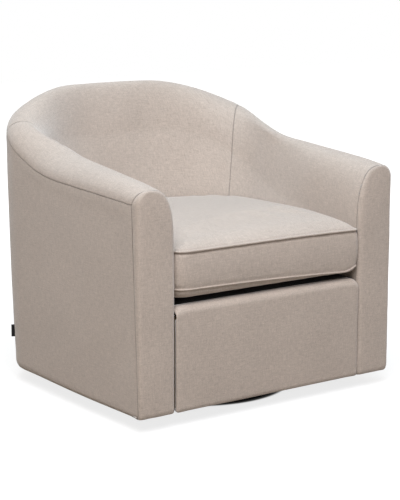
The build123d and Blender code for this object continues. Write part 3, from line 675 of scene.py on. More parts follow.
# Black cloth for the lining, and for the deck, where its black also paints the shade in the gap under the
# cushion
BLACK_CLOTH = cloth_finish(
    "black lining cloth", (0.03, 0.03, 0.032, 1), (0.012, 0.012, 0.013, 1), 0.0009, 0.4, sheen=0.1
)
BLACK_TAG = cloth_finish(
    "black woven tag", (0.028, 0.028, 0.03, 1), (0.01, 0.01, 0.011, 1), 0.0005, 0.3, sheen=0.1
)
BLACK_PAINT = grained_finish(
    "matt black paint", (0.013, 0.013, 0.014, 1), (0.005, 0.005, 0.006, 1), 20.0, 900.0, 0.4, 0.65,
    relief=0.12, gloss=0.08,
)
BLACK_FELT = grained_finish(
    "black felt", (0.05, 0.05, 0.052, 1), (0.012, 0.012, 0.013, 1), 120.0, 1500.0, 0.6, 0.8, relief=0.6
)
HARDWOOD = grained_finish(
    "planed hardwood", (0.56, 0.4, 0.24, 1), (0.33, 0.21, 0.115, 1), 30.0, 300.0, 0.35, 0.45,
    relief=0.15, stretch=(1, 0.09, 1),
)
ZINC = grained_finish(
    "zinc plated steel", (0.68, 0.69, 0.7, 1), (0.45, 0.46, 0.47, 1), 60.0, 700.0, 0.4, 0.22,
    metallic=1.0, relief=0.05,
)
SPRING_STEEL = grained_finish(
    "oiled spring steel", (0.3, 0.3, 0.31, 1), (0.14, 0.14, 0.145, 1), 50.0, 600.0, 0.4, 0.3,
    metallic=1.0, relief=0.08,
)
CAGE_PLASTIC = grained_finish(
    "moulded cage", (0.78, 0.77, 0.72, 1), (0.66, 0.65, 0.6, 1), 40.0, 700.0, 0.3, 0.4, relief=0.06
)
WEBBING = grained_finish(
    "elastic webbing", (0.14, 0.14, 0.145, 1), (0.05, 0.05, 0.052, 1), 300.0, 900.0, 0.5, 0.75,
    relief=0.5, stretch=(3, 3, 0.3),
)


# Upholstered wall
INSIDE_STEP = 8.0
INSIDE_START = 20.0
OUTSIDE_STEP = 9.0
OUTSIDE_START = 15.0
MEAN_ARM_PLACE = 200.0
FOOT_RUN = 160.0
LEAST_FOOT = 4.0


def rounded_foot(d, z, radius):
    """Bring a point at the outer bottom edge inside a rounded corner."""
    off_d, off_z = d - radius, z - BODY_BOTTOM - radius
    gap = math.hypot(off_d, off_z)
    if off_d < 0 and off_z < 0 and gap > radius:
        return radius + off_d * radius / gap, BODY_BOTTOM + radius + off_z * radius / gap
    return d, z


def arm_grid(profile_of, place, outer, step, start, foot=0.0):
    """Face of the left arm, from the seam of the arm front to the corner seam."""
    length = steps_of(profile_of(MEAN_ARM_PLACE)).sum()
    shares = spread(length, step, not outer, outer)
    grid = []
    for f in spread(SEAM - start, step):
        row = []
        for g in shares:
            setback = front_setback(g, outer)
            s = setback + (SEAM - setback) * f
            d, z = along(profile_of(s), [g])[0]
            if foot > 0:
                d, z = rounded_foot(d, z, LEAST_FOOT + (foot - LEAST_FOOT) * (1 - blend(s / FOOT_RUN)))
            row.append(place(s, d, z))
        grid.append(row)
    return grid


def back_grid(profile_of, place, outer):
    """Face of the back, from corner seam to corner seam."""
    length = steps_of(profile_of(MIDDLE)).sum()
    shares = spread(length, INSIDE_STEP, not outer, outer)
    run = 2 * (MIDDLE - SEAM)
    grid = []
    for f in spread(run, INSIDE_STEP):
        s = SEAM + run * f
        grid.append([place(s, d, z) for d, z in along(profile_of(s), shares)])
    return grid


# Arm fronts: flat ends that turn back to the seam round their edge
FRONT_LENGTH = 560.0
FRONT_SOFT = 17.0
FRONT_BELLY = 2.0
BELLY_RUN = 48.0
FOOT_SHARE = 0.055
RIM_POINTS = 400
SQUARE_TURN = 3.4
ROUND_TURN = 2.0
SQUARE_FROM = 0.75
TURN_SHARES = (0.25, 0.42, 0.58, 0.72, 0.84, 0.93)
WIDEST_TURN = 0.45


def turned(t, n):
    """Fall of a rounded edge, from 0 at its start to 1 at its end; a higher n is squarer."""
    return 1 - (1 - t ** n) ** (1 / n)


def to_outline(spot, outline):
    """Distance from a point to an outline, and where along it the nearest point lies."""
    start, step = outline[:-1], np.diff(outline, axis=0)
    share = ((spot - start) * step).sum(axis=1) / np.maximum((step ** 2).sum(axis=1), TINY)
    share = np.clip(share, 0.0, 1.0)
    gaps = np.hypot(*(start + step * share[:, None] - spot).T)
    near = int(np.argmin(gaps))
    return float(gaps[near]), near


def edge_shares(setback, n, width):
    """Places across the arm front, close together where it turns back to its seam."""
    runs = list(EDGE_STEPS[:-1]) + [setback * share for share in TURN_SHARES]
    shares = []
    for order, run in enumerate(sorted(runs)):
        close = FRONT_SOFT * turned(min(run / setback, 1.0), n)
        shares.append(min(close / width, WIDEST_TURN * order / len(runs)))
    return shares


def arm_front_rim():
    """Outer and inner edge of an arm front as (d, z, setback) points, from the hem to the crest."""
    edge = []
    for g in np.linspace(0.0, 1.0, 240):
        start = front_setback(g, False)
        edge.append([*along(inside_profile(start), [g])[0], start])
    edge = np.array(edge)
    crest = int(np.argmax(edge[:, 1]))
    foot = BODY_BOTTOM + HEM_TURN
    outer = np.vstack([[FRONT_BATTER, foot, front_setback(FOOT_SHARE, True)], edge[:crest + 1]])
    inner = np.vstack([edge[crest:], [edge[-1, 0], foot, edge[-1, 2]]])[::-1]
    return outer, inner


def arm_front_grid(side):
    """Padded end of an arm, rounded over into the seam round its edge."""
    outer, inner = arm_front_rim()
    shares = spread(FRONT_LENGTH, OUTSIDE_STEP, False, True)
    left = along(outer, shares)[:, :2]
    right = along(inner, shares)[:, :2]
    up, down = np.linspace(0, 1, RIM_POINTS), np.linspace(1, 0, RIM_POINTS)
    rim = np.vstack([along(outer, up), along(inner, down)])
    outline, setback = rim[:, :2], rim[:, 2]
    inner_turn = np.interp(down, (0.0, SQUARE_FROM, 1.0), (ROUND_TURN, ROUND_TURN, SQUARE_TURN))
    square = np.r_[np.full(RIM_POINTS, SQUARE_TURN), inner_turn]
    grid = []
    for k, share in enumerate(shares):
        width = max(math.hypot(*(right[k] - left[k])), 0.5)
        first = round((RIM_POINTS - 1) * share)
        last = 2 * RIM_POINTS - 1 - first
        head = edge_shares(setback[first], square[first], width)
        tail = [1 - t for t in edge_shares(setback[last], square[last], width)[::-1]]
        row = []
        for c in head + list(np.linspace(head[-1], tail[0], 20)[1:-1]) + tail:
            flat = left[k] + (right[k] - left[k]) * c
            gap, near = to_outline(flat, outline)
            depth = setback[near] * turned(1 - min(gap / FRONT_SOFT, 1.0), square[near])
            depth -= FRONT_BELLY * blend(gap / BELLY_RUN)
            if side > 0:
                flat = rounded_foot(flat[0], flat[1], RIGHT_FOOT)
            row.append((side * (HALF - flat[0]), depth - SWIVEL_SETBACK, flat[1]))
        grid.append(row)
    foot = np.array(grid[0])
    tuck = foot + np.array([0.0, HEM_TURN, -HEM_TURN])
    under = foot + np.array([0.0, HEM_REACH, HEM_ON_RAIL - BODY_BOTTOM - HEM_TURN])
    return np.array([under, tuck] + [np.array(row) for row in grid])


# Apron and deck
APRON_TOP = 290.0
APRON_CORNER = 26.0
APRON_SOFT = 18.0
APRON_BELLY = 1.8
APRON_GAP = 0.3
APRON_REACH = (24.0, 32.0)
APRON_FALL = 0.01
DECK_FRONT = 27.0
DECK_SAG = 1.2
DECK_GAP = 1.0
DECK_OVERLAP = 2.0
DECK_POINTS = 48


def apron_grid():
    """Front panel under the cushion, rounded over the front rail and at its top corners."""
    half = HALF - ARM_THICKNESS - APRON_GAP
    soft = APRON_SOFT
    turn = np.linspace(math.pi, math.pi / 2, 14)
    face = [(HEM_REACH, HEM_ON_RAIL), (HEM_TURN, BODY_BOTTOM), (0.0, BODY_BOTTOM + HEM_TURN)]
    face += [(0.0, z) for z in np.linspace(BODY_BOTTOM + 10, APRON_TOP - soft, 26)[:-1]]
    face += [(soft + soft * math.cos(a), APRON_TOP - soft + soft * math.sin(a)) for a in turn]
    face += [(y, APRON_TOP - APRON_FALL * (y - soft)) for y in APRON_REACH]
    grid = []
    for share in spread(2 * half, OUTSIDE_STEP):
        x = -half + 2 * half * share
        belly = APRON_BELLY * (1 - (x / half) ** 4)
        near = min(max((abs(x) - half + APRON_CORNER) / APRON_CORNER, 0.0), 1.0)
        drop = APRON_CORNER / 2 * turned(near, 2)
        row = []
        for y, z in face:
            height = (z - BODY_BOTTOM) / (APRON_TOP - BODY_BOTTOM)
            y -= belly * math.sin(math.pi * min(height, 1.0))
            row.append((x, y - SWIVEL_SETBACK, z - drop * blend(2.5 * height - 1.5)))
        grid.append(row)
    return grid


def deck_grid():
    """Cloth over the springs, under the cushion."""
    half, corner, radius = INSIDE_HALF - DECK_GAP, CUSHION_BACK_CORNER, CUSHION_BACK_RADIUS + DECK_OVERLAP
    plan = Plan(half, corner, radius)
    grid = []
    for x in np.linspace(-half, half, DECK_POINTS):
        back = BACK_CENTRE + math.sqrt(radius ** 2 - x ** 2)
        past = abs(x) - plan.corner_x
        if past > 0:
            back = min(back, plan.straight + math.sqrt(max(corner ** 2 - past ** 2, 0.0)))
        row = []
        for y in np.linspace(DECK_FRONT, back, DECK_POINTS):
            sag = DECK_SAG * math.sin(math.pi * (x + half) / (2 * half))
            sag *= math.sin(math.pi * (y - DECK_FRONT) / (back - DECK_FRONT))
            row.append((x, y - SWIVEL_SETBACK, DECK_LEVEL - sag))
        grid.append(row)
    return grid


def upholster(name, grid, seams, fill, nodes, seed, material=GREIGE, slot="upholstery", **form):
    """Soft panel that takes the place of a cover and its padding."""
    piece = soft_panel(name, grid, seams, material, seed, **form)
    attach(piece, "chair")
    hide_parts(*nodes)


SEWN_INSIDE = ("start", "end", "low")
SEWN_OUTSIDE = ("start", "end", "high")
INSIDE = arm_grid(inside_profile, across, False, INSIDE_STEP, INSIDE_START)
for seed, (hand, side) in enumerate(HANDS.items(), 1):
    upholster(
        f"{hand}_inside_arm", handed(INSIDE, side), SEWN_INSIDE, 0.85,
        (f"{hand}_inside_arm_cover", f"{hand}_arm_foam"), seed, flip=side < 0,
    )
for seed, (hand, side) in enumerate(HANDS.items(), 3):
    foot = RIGHT_FOOT if side > 0 else 0.0
    outer_face = arm_grid(outside_profile, at, True, OUTSIDE_STEP, OUTSIDE_START, foot)
    upholster(
        f"{hand}_outside", handed(outer_face, side), SEWN_OUTSIDE, 0.9,
        (f"{hand}_outside_cover", f"{hand}_side_wadding"), seed, flip=side < 0,
    )
upholster(
    "inside_back", back_grid(inside_profile, across, False), SEWN_INSIDE, 0.85,
    ("inside_back_cover", "back_foam"), 5, flip=True,
)
upholster(
    "outside_back", back_grid(outside_profile, at, True), SEWN_OUTSIDE, 0.9,
    ("outside_back_cover", "back_wadding"), 6, flip=True,
)
for seed, (hand, side) in enumerate(HANDS.items(), 7):
    upholster(
        f"{hand}_arm_front", arm_front_grid(side), ("low", "high"), 0.8,
        (f"{hand}_arm_front_cover", f"{hand}_arm_front_pad"), seed, flip=side < 0, swell=0.5, pucker=0.7,
    )
upholster(
    "front_apron", apron_grid(), ("start", "end"), 0.9, ("apron_cover", "apron_pad"), 9,
    radius=6.0, swell=0.6,
)
# The deck is black cloth: a usual dark decking, and also painted shade for the dark gap under the cushion
# front
upholster(
    "deck", deck_grid(), (), 0.7, ("deck_cover", "deck_pad"), 10,
    material=BLACK_CLOTH, slot="black_cloth",
)


# Form of the cushion
def cushion_outline(count):
    """Plan of the cushion: front corners, sides drawn in between, wide back corners, curved back."""
    half, front, corner = CUSHION_HALF, CUSHION_FRONT, CUSHION_BACK_CORNER
    plan = Plan(half, corner, CUSHION_BACK_RADIUS)
    bend, turn_y, turn = plan.corner_x, plan.straight, plan.turn

    def arc(x, y, radius, start, stop):
        angle = np.linspace(start, stop, 120)
        return np.column_stack([x + radius * np.cos(angle), y + radius * np.sin(angle)])

    left, right = CUSHION_LEFT_CORNER, CUSHION_RIGHT_CORNER
    side = np.linspace(0.0, 1.0, 60)
    drawn_in = half - CUSHION_SAG * np.sin(math.pi * side)
    loop = np.vstack([
        arc(left - half, front + left, left, math.pi, 1.5 * math.pi),
        arc(half - right, front + right, right, 1.5 * math.pi, 2 * math.pi),
        np.column_stack([drawn_in, front + right + (turn_y - front - right) * side]),
        arc(bend, turn_y, corner, 0.0, turn),
        arc(0.0, BACK_CENTRE, CUSHION_BACK_RADIUS, turn, math.pi - turn),
        arc(-bend, turn_y, corner, math.pi - turn, math.pi),
        np.column_stack([-drawn_in, turn_y + (front + left - turn_y) * side]),
    ])
    loop[:, 0] += CUSHION_LEFT_GAP * np.clip(-loop[:, 0] / half, 0.0, 1.0)
    return along(loop, np.linspace(0.0, 1.0, count, endpoint=False))


def top_welt(x):
    """The top edge drops a little to the right."""
    return TOP_WELT - TOP_WELT_DROP * max(0.0, x / CUSHION_HALF) ** 2


def bottom_welt(x, y):
    """The bottom edge hangs lower to the right, and lifts at the front right corner."""
    share = x / CUSHION_HALF
    lift = CORNER_LIFT * blend((x - CUSHION_HALF + CORNER_LIFT_WIDTH) / CORNER_LIFT_WIDTH)
    lift *= 1 - blend((y - CORNER_LIFT_FROM) / CORNER_LIFT_DEPTH)
    return BOTTOM_WELT - BOTTOM_WELT_SLOPE * share - BOTTOM_WELT_BOW * share ** 2 + lift


def underside(y):
    """The front of the cushion stands clear of the apron; the rest lies on the deck."""
    return CUSHION_BASE + FRONT_LIFT * (1 - blend(y / FRONT_LIFT_RUN))


def crown(x, y, inset):
    """Height of the top above its welt: a quick rise from the edge and a broad dome, fuller to the right."""
    edge = EDGE_RISE * (1 - (1 - min(inset / EDGE_RUN, 1.0)) ** 3)
    run = CROWN_FRONT_RUN if y < CROWN_Y else CROWN_BACK_RUN
    dome = max(0.0, 1 - ((x - CROWN_X) / CROWN_HALF_WIDTH) ** 2)
    dome *= max(0.0, 1 - ((y - CROWN_Y) / run) ** 2)
    return edge + CROWN_RISE * dome * blend(inset / EDGE_RUN)


def cushion_body():
    """Closed form of the cushion before it is blown up."""
    count = CUSHION_COLUMNS
    outline = cushion_outline(count)
    centre = np.array([0.0, CUSHION_MIDDLE])
    points = []

    def ring(inset, height):
        loop = centre + (outline - centre) * (1 - inset / CUSHION_HALF)
        points.extend((x, y - SWIVEL_SETBACK, height(x, y)) for x, y in loop)

    def over_welt(x, y, top, share):
        low = bottom_welt(x, y)
        return low + (top - low) * share

    for inset in UNDER_INSETS:
        ring(inset, lambda x, y: underside(y))
    for turn in np.linspace(math.pi / 2, 0.0, 9):
        inset = UNDER_ROUND * (1 - math.cos(turn))
        ring(inset, lambda x, y: over_welt(x, y, underside(y), math.sin(turn)))
    for share in np.linspace(0.0, 1.0, 11)[1:-1]:
        bulge = BOXING_BULGE * math.sin(math.pi * share)
        ring(-bulge, lambda x, y: over_welt(x, y, top_welt(x), share))
    for inset in TOP_INSETS:
        ring(inset, lambda x, y: top_welt(x) + crown(x, y, inset))
    faces = quads(len(points) // count, count, True)
    faces.append(tuple(range(count))[::-1])
    faces.append(tuple(range(len(points) - count, len(points))))
    return mesh_piece("seat_cushion", points, faces)


# Simulation: the form is blown up as cloth with its seams held; reaches and caps in millimetres
MESH_SIZE = 6.0
PRESSURE = 4.0
SIM_FRAMES = 20
HELD_HEIGHT = 4.0
HELD_REACH = 6.0
TOP_SWELL = 9.0
FRONT_SWELL = 6.0
SIDE_SWELL = 2.0
INWARD_CAP = 1.5
FRONT_BAND = 10.0
DECK_CLEARANCE = 0.6
ARM_CLEARANCE = 2.0

# Cloth drawn in beside the piping, with puckers along it
SEAM_DRAW = {"top": 1.7, "bottom": 1.0}
DRAW_PLACE = 5.0
DRAW_WIDTH = 3.5
PUCKER_PLACE = 12.0
PUCKER_WIDTH = 11.0
PUCKER_SEED = 21
SEAM_REACH = 45.0


def baked_mesh(piece):
    """The mesh of a piece with its modifiers worked in."""
    graph = bpy.context.evaluated_depsgraph_get()
    return bpy.data.meshes.new_from_object(piece.evaluated_get(graph), depsgraph=graph)


def apply_modifiers(piece):
    mesh = baked_mesh(piece)
    old = piece.data
    piece.modifiers.clear()
    piece.data = mesh
    mesh.name = piece.name
    bpy.data.meshes.remove(old)


def rework(piece, label, kind, **settings):
    """Put a modifier on a piece and work it in."""
    set_all(piece.modifiers.new(label, kind), **settings)
    apply_modifiers(piece)


def blow_up(piece):
    """Inflate the closed form with its seams held, and cap how far any point moves."""
    rest = np.array([v.co for v in piece.data.vertices])
    facing = np.array([v.normal for v in piece.data.vertices])
    group = piece.vertex_groups.new(name="seams")
    group.add([i for i, p in enumerate(rest) if on_a_welt(p)], 1.0, "REPLACE")
    cloth = piece.modifiers.new("blown up", "CLOTH")
    set_all(
        cloth.settings, quality=6, mass=0.3, tension_stiffness=25.0, compression_stiffness=25.0,
        shear_stiffness=8.0, bending_stiffness=3.0, use_pressure=True, uniform_pressure_force=PRESSURE,
        vertex_group_mass="seams",
    )
    cloth.settings.effector_weights.gravity = 0.0
    cloth.point_cache.frame_start = 1
    cloth.point_cache.frame_end = SIM_FRAMES
    for step in range(1, SIM_FRAMES + 1):
        SCENE.frame_set(step)
    apply_modifiers(piece)
    piece.vertex_groups.clear()
    SCENE.frame_set(1)
    move = np.array([v.co for v in piece.data.vertices]) - rest
    size = np.linalg.norm(move, axis=1, keepdims=True)
    outward = (move * facing).sum(axis=1, keepdims=True) > 0
    cap = np.where(outward, np.array([room_to_swell(p) for p in rest])[:, None], INWARD_CAP)
    now = rest + move * np.minimum(1.0, cap * MM / np.maximum(size, TINY))
    piece.data.vertices.foreach_set("co", now.ravel())
    piece.data.update()


def settle(piece):
    """Flat where the cushion rests on the deck, and clear of the arms."""
    floor = (DECK_LEVEL + DECK_CLEARANCE) * MM
    side = (INSIDE_HALF - ARM_CLEARANCE) * MM
    for v in piece.data.vertices:
        v.co.z = max(v.co.z, floor)
        v.co.x = min(max(v.co.x, -side), side)
    piece.data.update()


def map_cloth(mesh):
    """Lay the weave on each face along its nearest plane."""
    layer = mesh.uv_layers.new(name="weave")
    for face in mesh.polygons:
        axis = max(range(3), key=lambda k: abs(face.normal[k]))
        for index in face.loop_indices:
            x, y, z = mesh.vertices[mesh.loops[index].vertex_index].co
            layer.data[index].uv = ((y, z), (x, z), (x, y))[axis]


LOOP = cushion_outline(600)
WELTS = {
    "top": np.array([(x, y - SWIVEL_SETBACK, top_welt(x)) for x, y in LOOP]) * MM,
    "bottom": np.array([(x, y - SWIVEL_SETBACK, bottom_welt(x, y)) for x, y in LOOP]) * MM,
}


def on_a_welt(point):
    """Within reach of the piped edges."""
    x, y, z = (c / MM for c in point)
    y += SWIVEL_SETBACK
    if min(abs(z - top_welt(x)), abs(z - bottom_welt(x, y))) > HELD_HEIGHT:
        return False
    return float(np.min(np.hypot(*(LOOP - np.array([x, y])).T))) < HELD_REACH


def room_to_swell(point):
    """How far the cloth may move: little between the welts, where arms and back stand close."""
    x, y, z = (c / MM for c in point)
    if z < top_welt(x):
        return FRONT_SWELL if y + SWIVEL_SETBACK < FRONT_BAND else SIDE_SWELL
    return TOP_SWELL


def seat_seams(piece):
    """Draw the cloth in beside the piped edges, with small puckers along them."""
    trees = {}
    for name, loop in WELTS.items():
        trees[name] = KDTree(len(loop))
        for index, p in enumerate(loop):
            trees[name].insert(p, index)
        trees[name].balance()
    normals = [v.normal.copy() for v in piece.data.vertices]
    for v, normal in zip(piece.data.vertices, normals):
        spot = [c / MM for c in v.co]
        name = "top" if spot[2] > (TOP_WELT + BOTTOM_WELT) / 2 else "bottom"
        gap = trees[name].find(v.co)[2] / MM
        if gap > SEAM_REACH:
            continue
        depth = SEAM_DRAW[name] * math.exp(-((gap - DRAW_PLACE) / DRAW_WIDTH) ** 2)
        pucker = ripple(spot, PUCKER_SCALE, PUCKER_SEED)
        depth += pucker * math.exp(-((gap - PUCKER_PLACE) / PUCKER_WIDTH) ** 2)
        v.co -= normal * depth * MM
    piece.data.update()


CUSHION = cushion_body()
rework(CUSHION, "even mesh", "REMESH", mode="VOXEL", voxel_size=MESH_SIZE * MM)
blow_up(CUSHION)
settle(CUSHION)
rework(CUSHION, "even cloth", "SMOOTH", factor=0.5, iterations=3)
rework(CUSHION, "finer cloth", "SUBSURF", levels=1, render_levels=1)
seat_seams(CUSHION)
shade_smooth(CUSHION.data)
map_cloth(CUSHION.data)
CUSHION.data.materials.clear()
CUSHION.data.materials.append(GREIGE)
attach(CUSHION, "cushion")
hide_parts("cushion_foam", "cushion_top", "cushion_boxing", "cushion_bottom")


# Piping and staples follow paths
def path_tree(name, inputs):
    """Geometry node tree that turns a path into a mesh."""
    path = ("Geometry", "NodeSocketGeometry")
    return node_group(name, "GeometryNodeTree", [(*path, None), *inputs], [path])


def hand_out(tree, sink, geometry, material):
    """Last nodes of a tree: instances made real, and their material."""
    real = add_node(tree, "GeometryNodeRealizeInstances", {"Geometry": geometry})
    painted = add_node(tree, "GeometryNodeSetMaterial", {"Geometry": real[0], "Material": material})
    feed(tree, sink, {"Geometry": painted[0]})
    return tree


def path_curve(name, points):
    """Closed path through points."""
    curve = bpy.data.curves.new(name, "CURVE")
    curve.dimensions = "3D"
    line = curve.splines.new("POLY")
    line.points.add(len(points) - 1)
    for spot, p in zip(line.points, points):
        spot.co = (*p, 1.0)
    line.use_cyclic_u = True
    return place_piece(name, curve)


def grown(name, points, tree, values):
    """Run a node tree along a path and keep what it makes as a plain mesh piece."""
    path = path_curve(name + "_path", points)
    make = path.modifiers.new("made", "NODES")
    make.node_group = tree
    for socket in tree.interface.items_tree:
        if socket.in_out == "INPUT" and socket.name in values:
            make[socket.identifier] = values[socket.name]
    mesh = baked_mesh(path)
    mesh.name = name
    curve = path.data
    bpy.data.objects.remove(path)
    bpy.data.curves.remove(curve)
    return place_piece(name, mesh)


TOP_PIPING = 2.8
TOP_PIPING_LIFT = 0.4
BOTTOM_PIPING = 1.9
CORD_SIDES = 12
CORD_OUT = 0.6
CORD_CLEARANCE = 1.6
CLOTH_PULL = 0.3
EVEN_PASSES = 8


def piping_tree():
    """Round cord along a path."""
    tree, given, sink = path_tree("piping along an edge", [
        ("Cord radius", "NodeSocketFloat", 0.0026),
        ("Cloth", "NodeSocketMaterial", None),
    ])
    ring = {"Radius": given["Cord radius"], "Resolution": CORD_SIDES}
    ring = add_node(tree, "GeometryNodeCurvePrimitiveCircle", ring)["Curve"]
    tube = {"Curve": given["Geometry"], "Profile Curve": ring}
    tube = add_node(tree, "GeometryNodeCurveToMesh", tube)["Mesh"]
    tube = add_node(tree, "GeometryNodeSetShadeSmooth", {"Geometry": tube})["Geometry"]
    return hand_out(tree, sink, tube, given["Cloth"])


PIPING = piping_tree()


def map_piping(mesh, length, girth):
    """Wrap the weave round the cord: along it one way, round it the other."""
    for layer in list(mesh.uv_layers):
        mesh.uv_layers.remove(layer)
    layer = mesh.uv_layers.new(name="weave")
    rows = len(mesh.vertices) // CORD_SIDES
    for face in mesh.polygons:
        spots = [divmod(mesh.loops[i].vertex_index, CORD_SIDES) for i in face.loop_indices]
        high_row = max(r for r, c in spots)
        high_column = max(c for r, c in spots)
        for index, (r, c) in zip(face.loop_indices, spots):
            r = r + rows if r == 0 and high_row == rows - 1 else r
            c = c + CORD_SIDES if c == 0 and high_column == CORD_SIDES - 1 else c
            layer.data[index].uv = (length * r / rows, girth * c / CORD_SIDES)


def cushion_piping(name, loop, node, radius, lift):
    """Piping along a welt, drawn towards the cloth and kept clear of the arms."""
    tree = BVHTree.FromObject(CUSHION, bpy.context.evaluated_depsgraph_get())
    spots = np.array([
        CLOTH_PULL * np.array(tree.find_nearest(Vector(p))[0]) + (1 - CLOTH_PULL) * np.array(p) for p in loop
    ])
    for turn in range(EVEN_PASSES):
        spots = (np.roll(spots, 1, axis=0) + 2 * spots + np.roll(spots, -1, axis=0)) / 4
    heading = np.roll(spots, -1, axis=0) - np.roll(spots, 1, axis=0)
    out = np.column_stack([heading[:, 1], -heading[:, 0], np.zeros(len(spots))])
    out /= np.linalg.norm(out, axis=1, keepdims=True)
    spots = spots + out * CORD_OUT * MM + np.array([0.0, 0.0, lift * MM])
    reach = (INSIDE_HALF - CORD_CLEARANCE - radius) * MM
    spots[:, 0] = np.clip(spots[:, 0], -reach, reach)
    length = float(steps_of(np.vstack([spots[-1:], spots])).sum())
    piece = grown(name, spots, PIPING, {"Cord radius": radius * MM, "Cloth": GREIGE_BIAS})
    map_piping(piece.data, length, 2 * math.pi * radius * MM)
    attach(piece, "cushion")
    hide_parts(node)


cushion_piping("cushion_piping_top", WELTS["top"], "cushion_top_welt", TOP_PIPING, TOP_PIPING_LIFT)
cushion_piping("cushion_piping_bottom", WELTS["bottom"], "cushion_bottom_welt", BOTTOM_PIPING, 0.0)


# Underside: lining cloth and the staples that hold it
PLATE_HALF = 90.0
DUST_MARGIN = 16.0
DUST_FRONT = 21.5
DUST_LEVEL = RAIL_BOTTOM + 1.55
DUST_SAG = 0.5
DUST_UNEVEN = 0.6
DUST_RIPPLE = 0.02
DUST_SEED = 12
DUST_COLUMNS = 240
DUST_RINGS = 16
STAPLE_STEP = 0.032
STAPLE_INSET = 9.0
STAPLE_LEVEL = RAIL_BOTTOM + 0.8
STAPLE_CENTRE = 360.0


def dust_outline():
    d = DUST_MARGIN
    loop = [(-(HALF - d), DUST_FRONT), (HALF - d, DUST_FRONT)]
    for s in np.linspace(2 * MIDDLE - SIDE_LENGTH, SIDE_LENGTH, 120):
        x, y, nx, ny = outside(s)
        loop.append((x + d * nx, y + d * ny))
    loop.append(loop[0])
    return along(np.array(loop), np.linspace(0.0, 1.0, DUST_COLUMNS, endpoint=False))


def hole_outline(outer):
    """Square cut-out round the swivel plate, its points facing those of the outer edge."""
    centre = np.array([0.0, SWIVEL_SETBACK])
    off = outer - centre
    return off * (PLATE_HALF / np.abs(off).max(axis=1, keepdims=True)) + centre


def dust_cloth():
    """Lining cloth stretched under the frame; gives its outer edge."""
    outer = dust_outline()
    hole = hole_outline(outer)
    points, uv = [], []
    for t in (k / DUST_RINGS for k in range(DUST_RINGS + 1)):
        for x, y in hole + (outer - hole) * t:
            uneven = 1 + DUST_UNEVEN * ripple((x, y, 0.0), DUST_RIPPLE, DUST_SEED)
            sag = DUST_SAG * math.sin(math.pi * t) * uneven
            points.append((x, y - SWIVEL_SETBACK, DUST_LEVEL - sag))
            uv.append((x, y))
    piece = mesh_piece("dust_cloth", points, quads(DUST_RINGS + 1, DUST_COLUMNS, True), uv, BLACK_CLOTH)
    thicken(piece, LINING_THICKNESS)
    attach(piece, "chair")
    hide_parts("dust_cover")
    return outer


def staple_tree():
    """Wire staples at even steps along a path."""
    tree, given, sink = path_tree("staples along a hem", [
        ("Step", "NodeSocketFloat", 0.03),
        ("Gauge", "NodeSocketFloat", 0.00045),
        ("Wire", "NodeSocketMaterial", None),
    ])
    walk = {"Curve": given["Geometry"], "Length": given["Step"]}
    walk = add_node(tree, "GeometryNodeCurveToPoints", walk, mode="LENGTH")
    bow = {"Start": (-0.005, 0.0, 0.0012), "Middle": (0.0, 0.0, 0.0), "End": (0.005, 0.0, 0.0012)}
    bow = add_node(tree, "GeometryNodeCurveArc", {"Resolution": 9, **bow}, mode="POINTS")["Curve"]
    ring = {"Radius": given["Gauge"], "Resolution": 8}
    ring = add_node(tree, "GeometryNodeCurvePrimitiveCircle", ring)["Curve"]
    wire = {"Curve": bow, "Profile Curve": ring, "Fill Caps": True}
    wire = add_node(tree, "GeometryNodeCurveToMesh", wire)["Mesh"]
    align = {"Vector": walk["Tangent"]}
    align = add_node(tree, "FunctionNodeAlignRotationToVector", align, axis="X")["Rotation"]
    place = {"Points": walk["Points"], "Instance": wire, "Rotation": align}
    place = add_node(tree, "GeometryNodeInstanceOnPoints", place)["Instances"]
    return hand_out(tree, sink, place, given["Wire"])


staple_line = []
for x, y in dust_cloth():
    toward = Vector((x, y - STAPLE_CENTRE, 0.0)).normalized()
    spot = Vector((x, y - SWIVEL_SETBACK, STAPLE_LEVEL)) - toward * STAPLE_INSET
    staple_line.append(spot * MM)
staples = grown("dust_cloth_staples", staple_line, staple_tree(), {"Step": STAPLE_STEP, "Wire": ZINC})
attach(staples, "chair")

# Blank folded tag in the left back seam
TAG_REACH = 4.6
TAG_FOLD = 0.8
TAG_CURL = 0.5
TAG_CURL_TURN = 3.0
TAG_CURL_START = 0.6


def seam_tag():
    low, high = (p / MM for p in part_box("side_tag"))
    nx, ny = outside(SEAM)[2:]
    out = np.array([-nx, -ny])
    side = np.array([-ny, nx])
    centre = np.array([(low.x + high.x) / 2, (low.y + high.y) / 2])
    bend = TAG_REACH - TAG_FOLD
    fold = np.linspace(-math.pi / 2, math.pi / 2, 9)
    strip = [(-TAG_REACH, -TAG_FOLD), (bend, -TAG_FOLD)]
    strip += [(bend + TAG_FOLD * math.cos(a), TAG_FOLD * math.sin(a)) for a in fold[1:-1]]
    strip += [(bend, TAG_FOLD), (-TAG_REACH, TAG_FOLD)]
    levels = np.linspace(low.z, high.z, 15)
    points, uv = [], []
    for r, t in strip:
        for z in levels:
            height = (z - low.z) / (high.z - low.z)
            curl = TAG_CURL * math.sin(TAG_CURL_TURN * height + TAG_CURL_START)
            curl *= (r + TAG_REACH) / (2 * TAG_REACH)
            points.append((*(centre + out * r + side * (t + curl)), z))
            uv.append((r + t, z))
    piece = mesh_piece("blank_tag", points, quads(len(strip), len(levels)), uv, BLACK_TAG)
    thicken(piece, LINING_THICKNESS)
    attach(piece, "chair")
    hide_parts("side_tag")


seam_tag()


# Finishes of the rigid pieces
def dress(material, *names):
    for name in names:
        mesh = NODES[name].data
        mesh.materials.clear()
        mesh.materials.append(material)


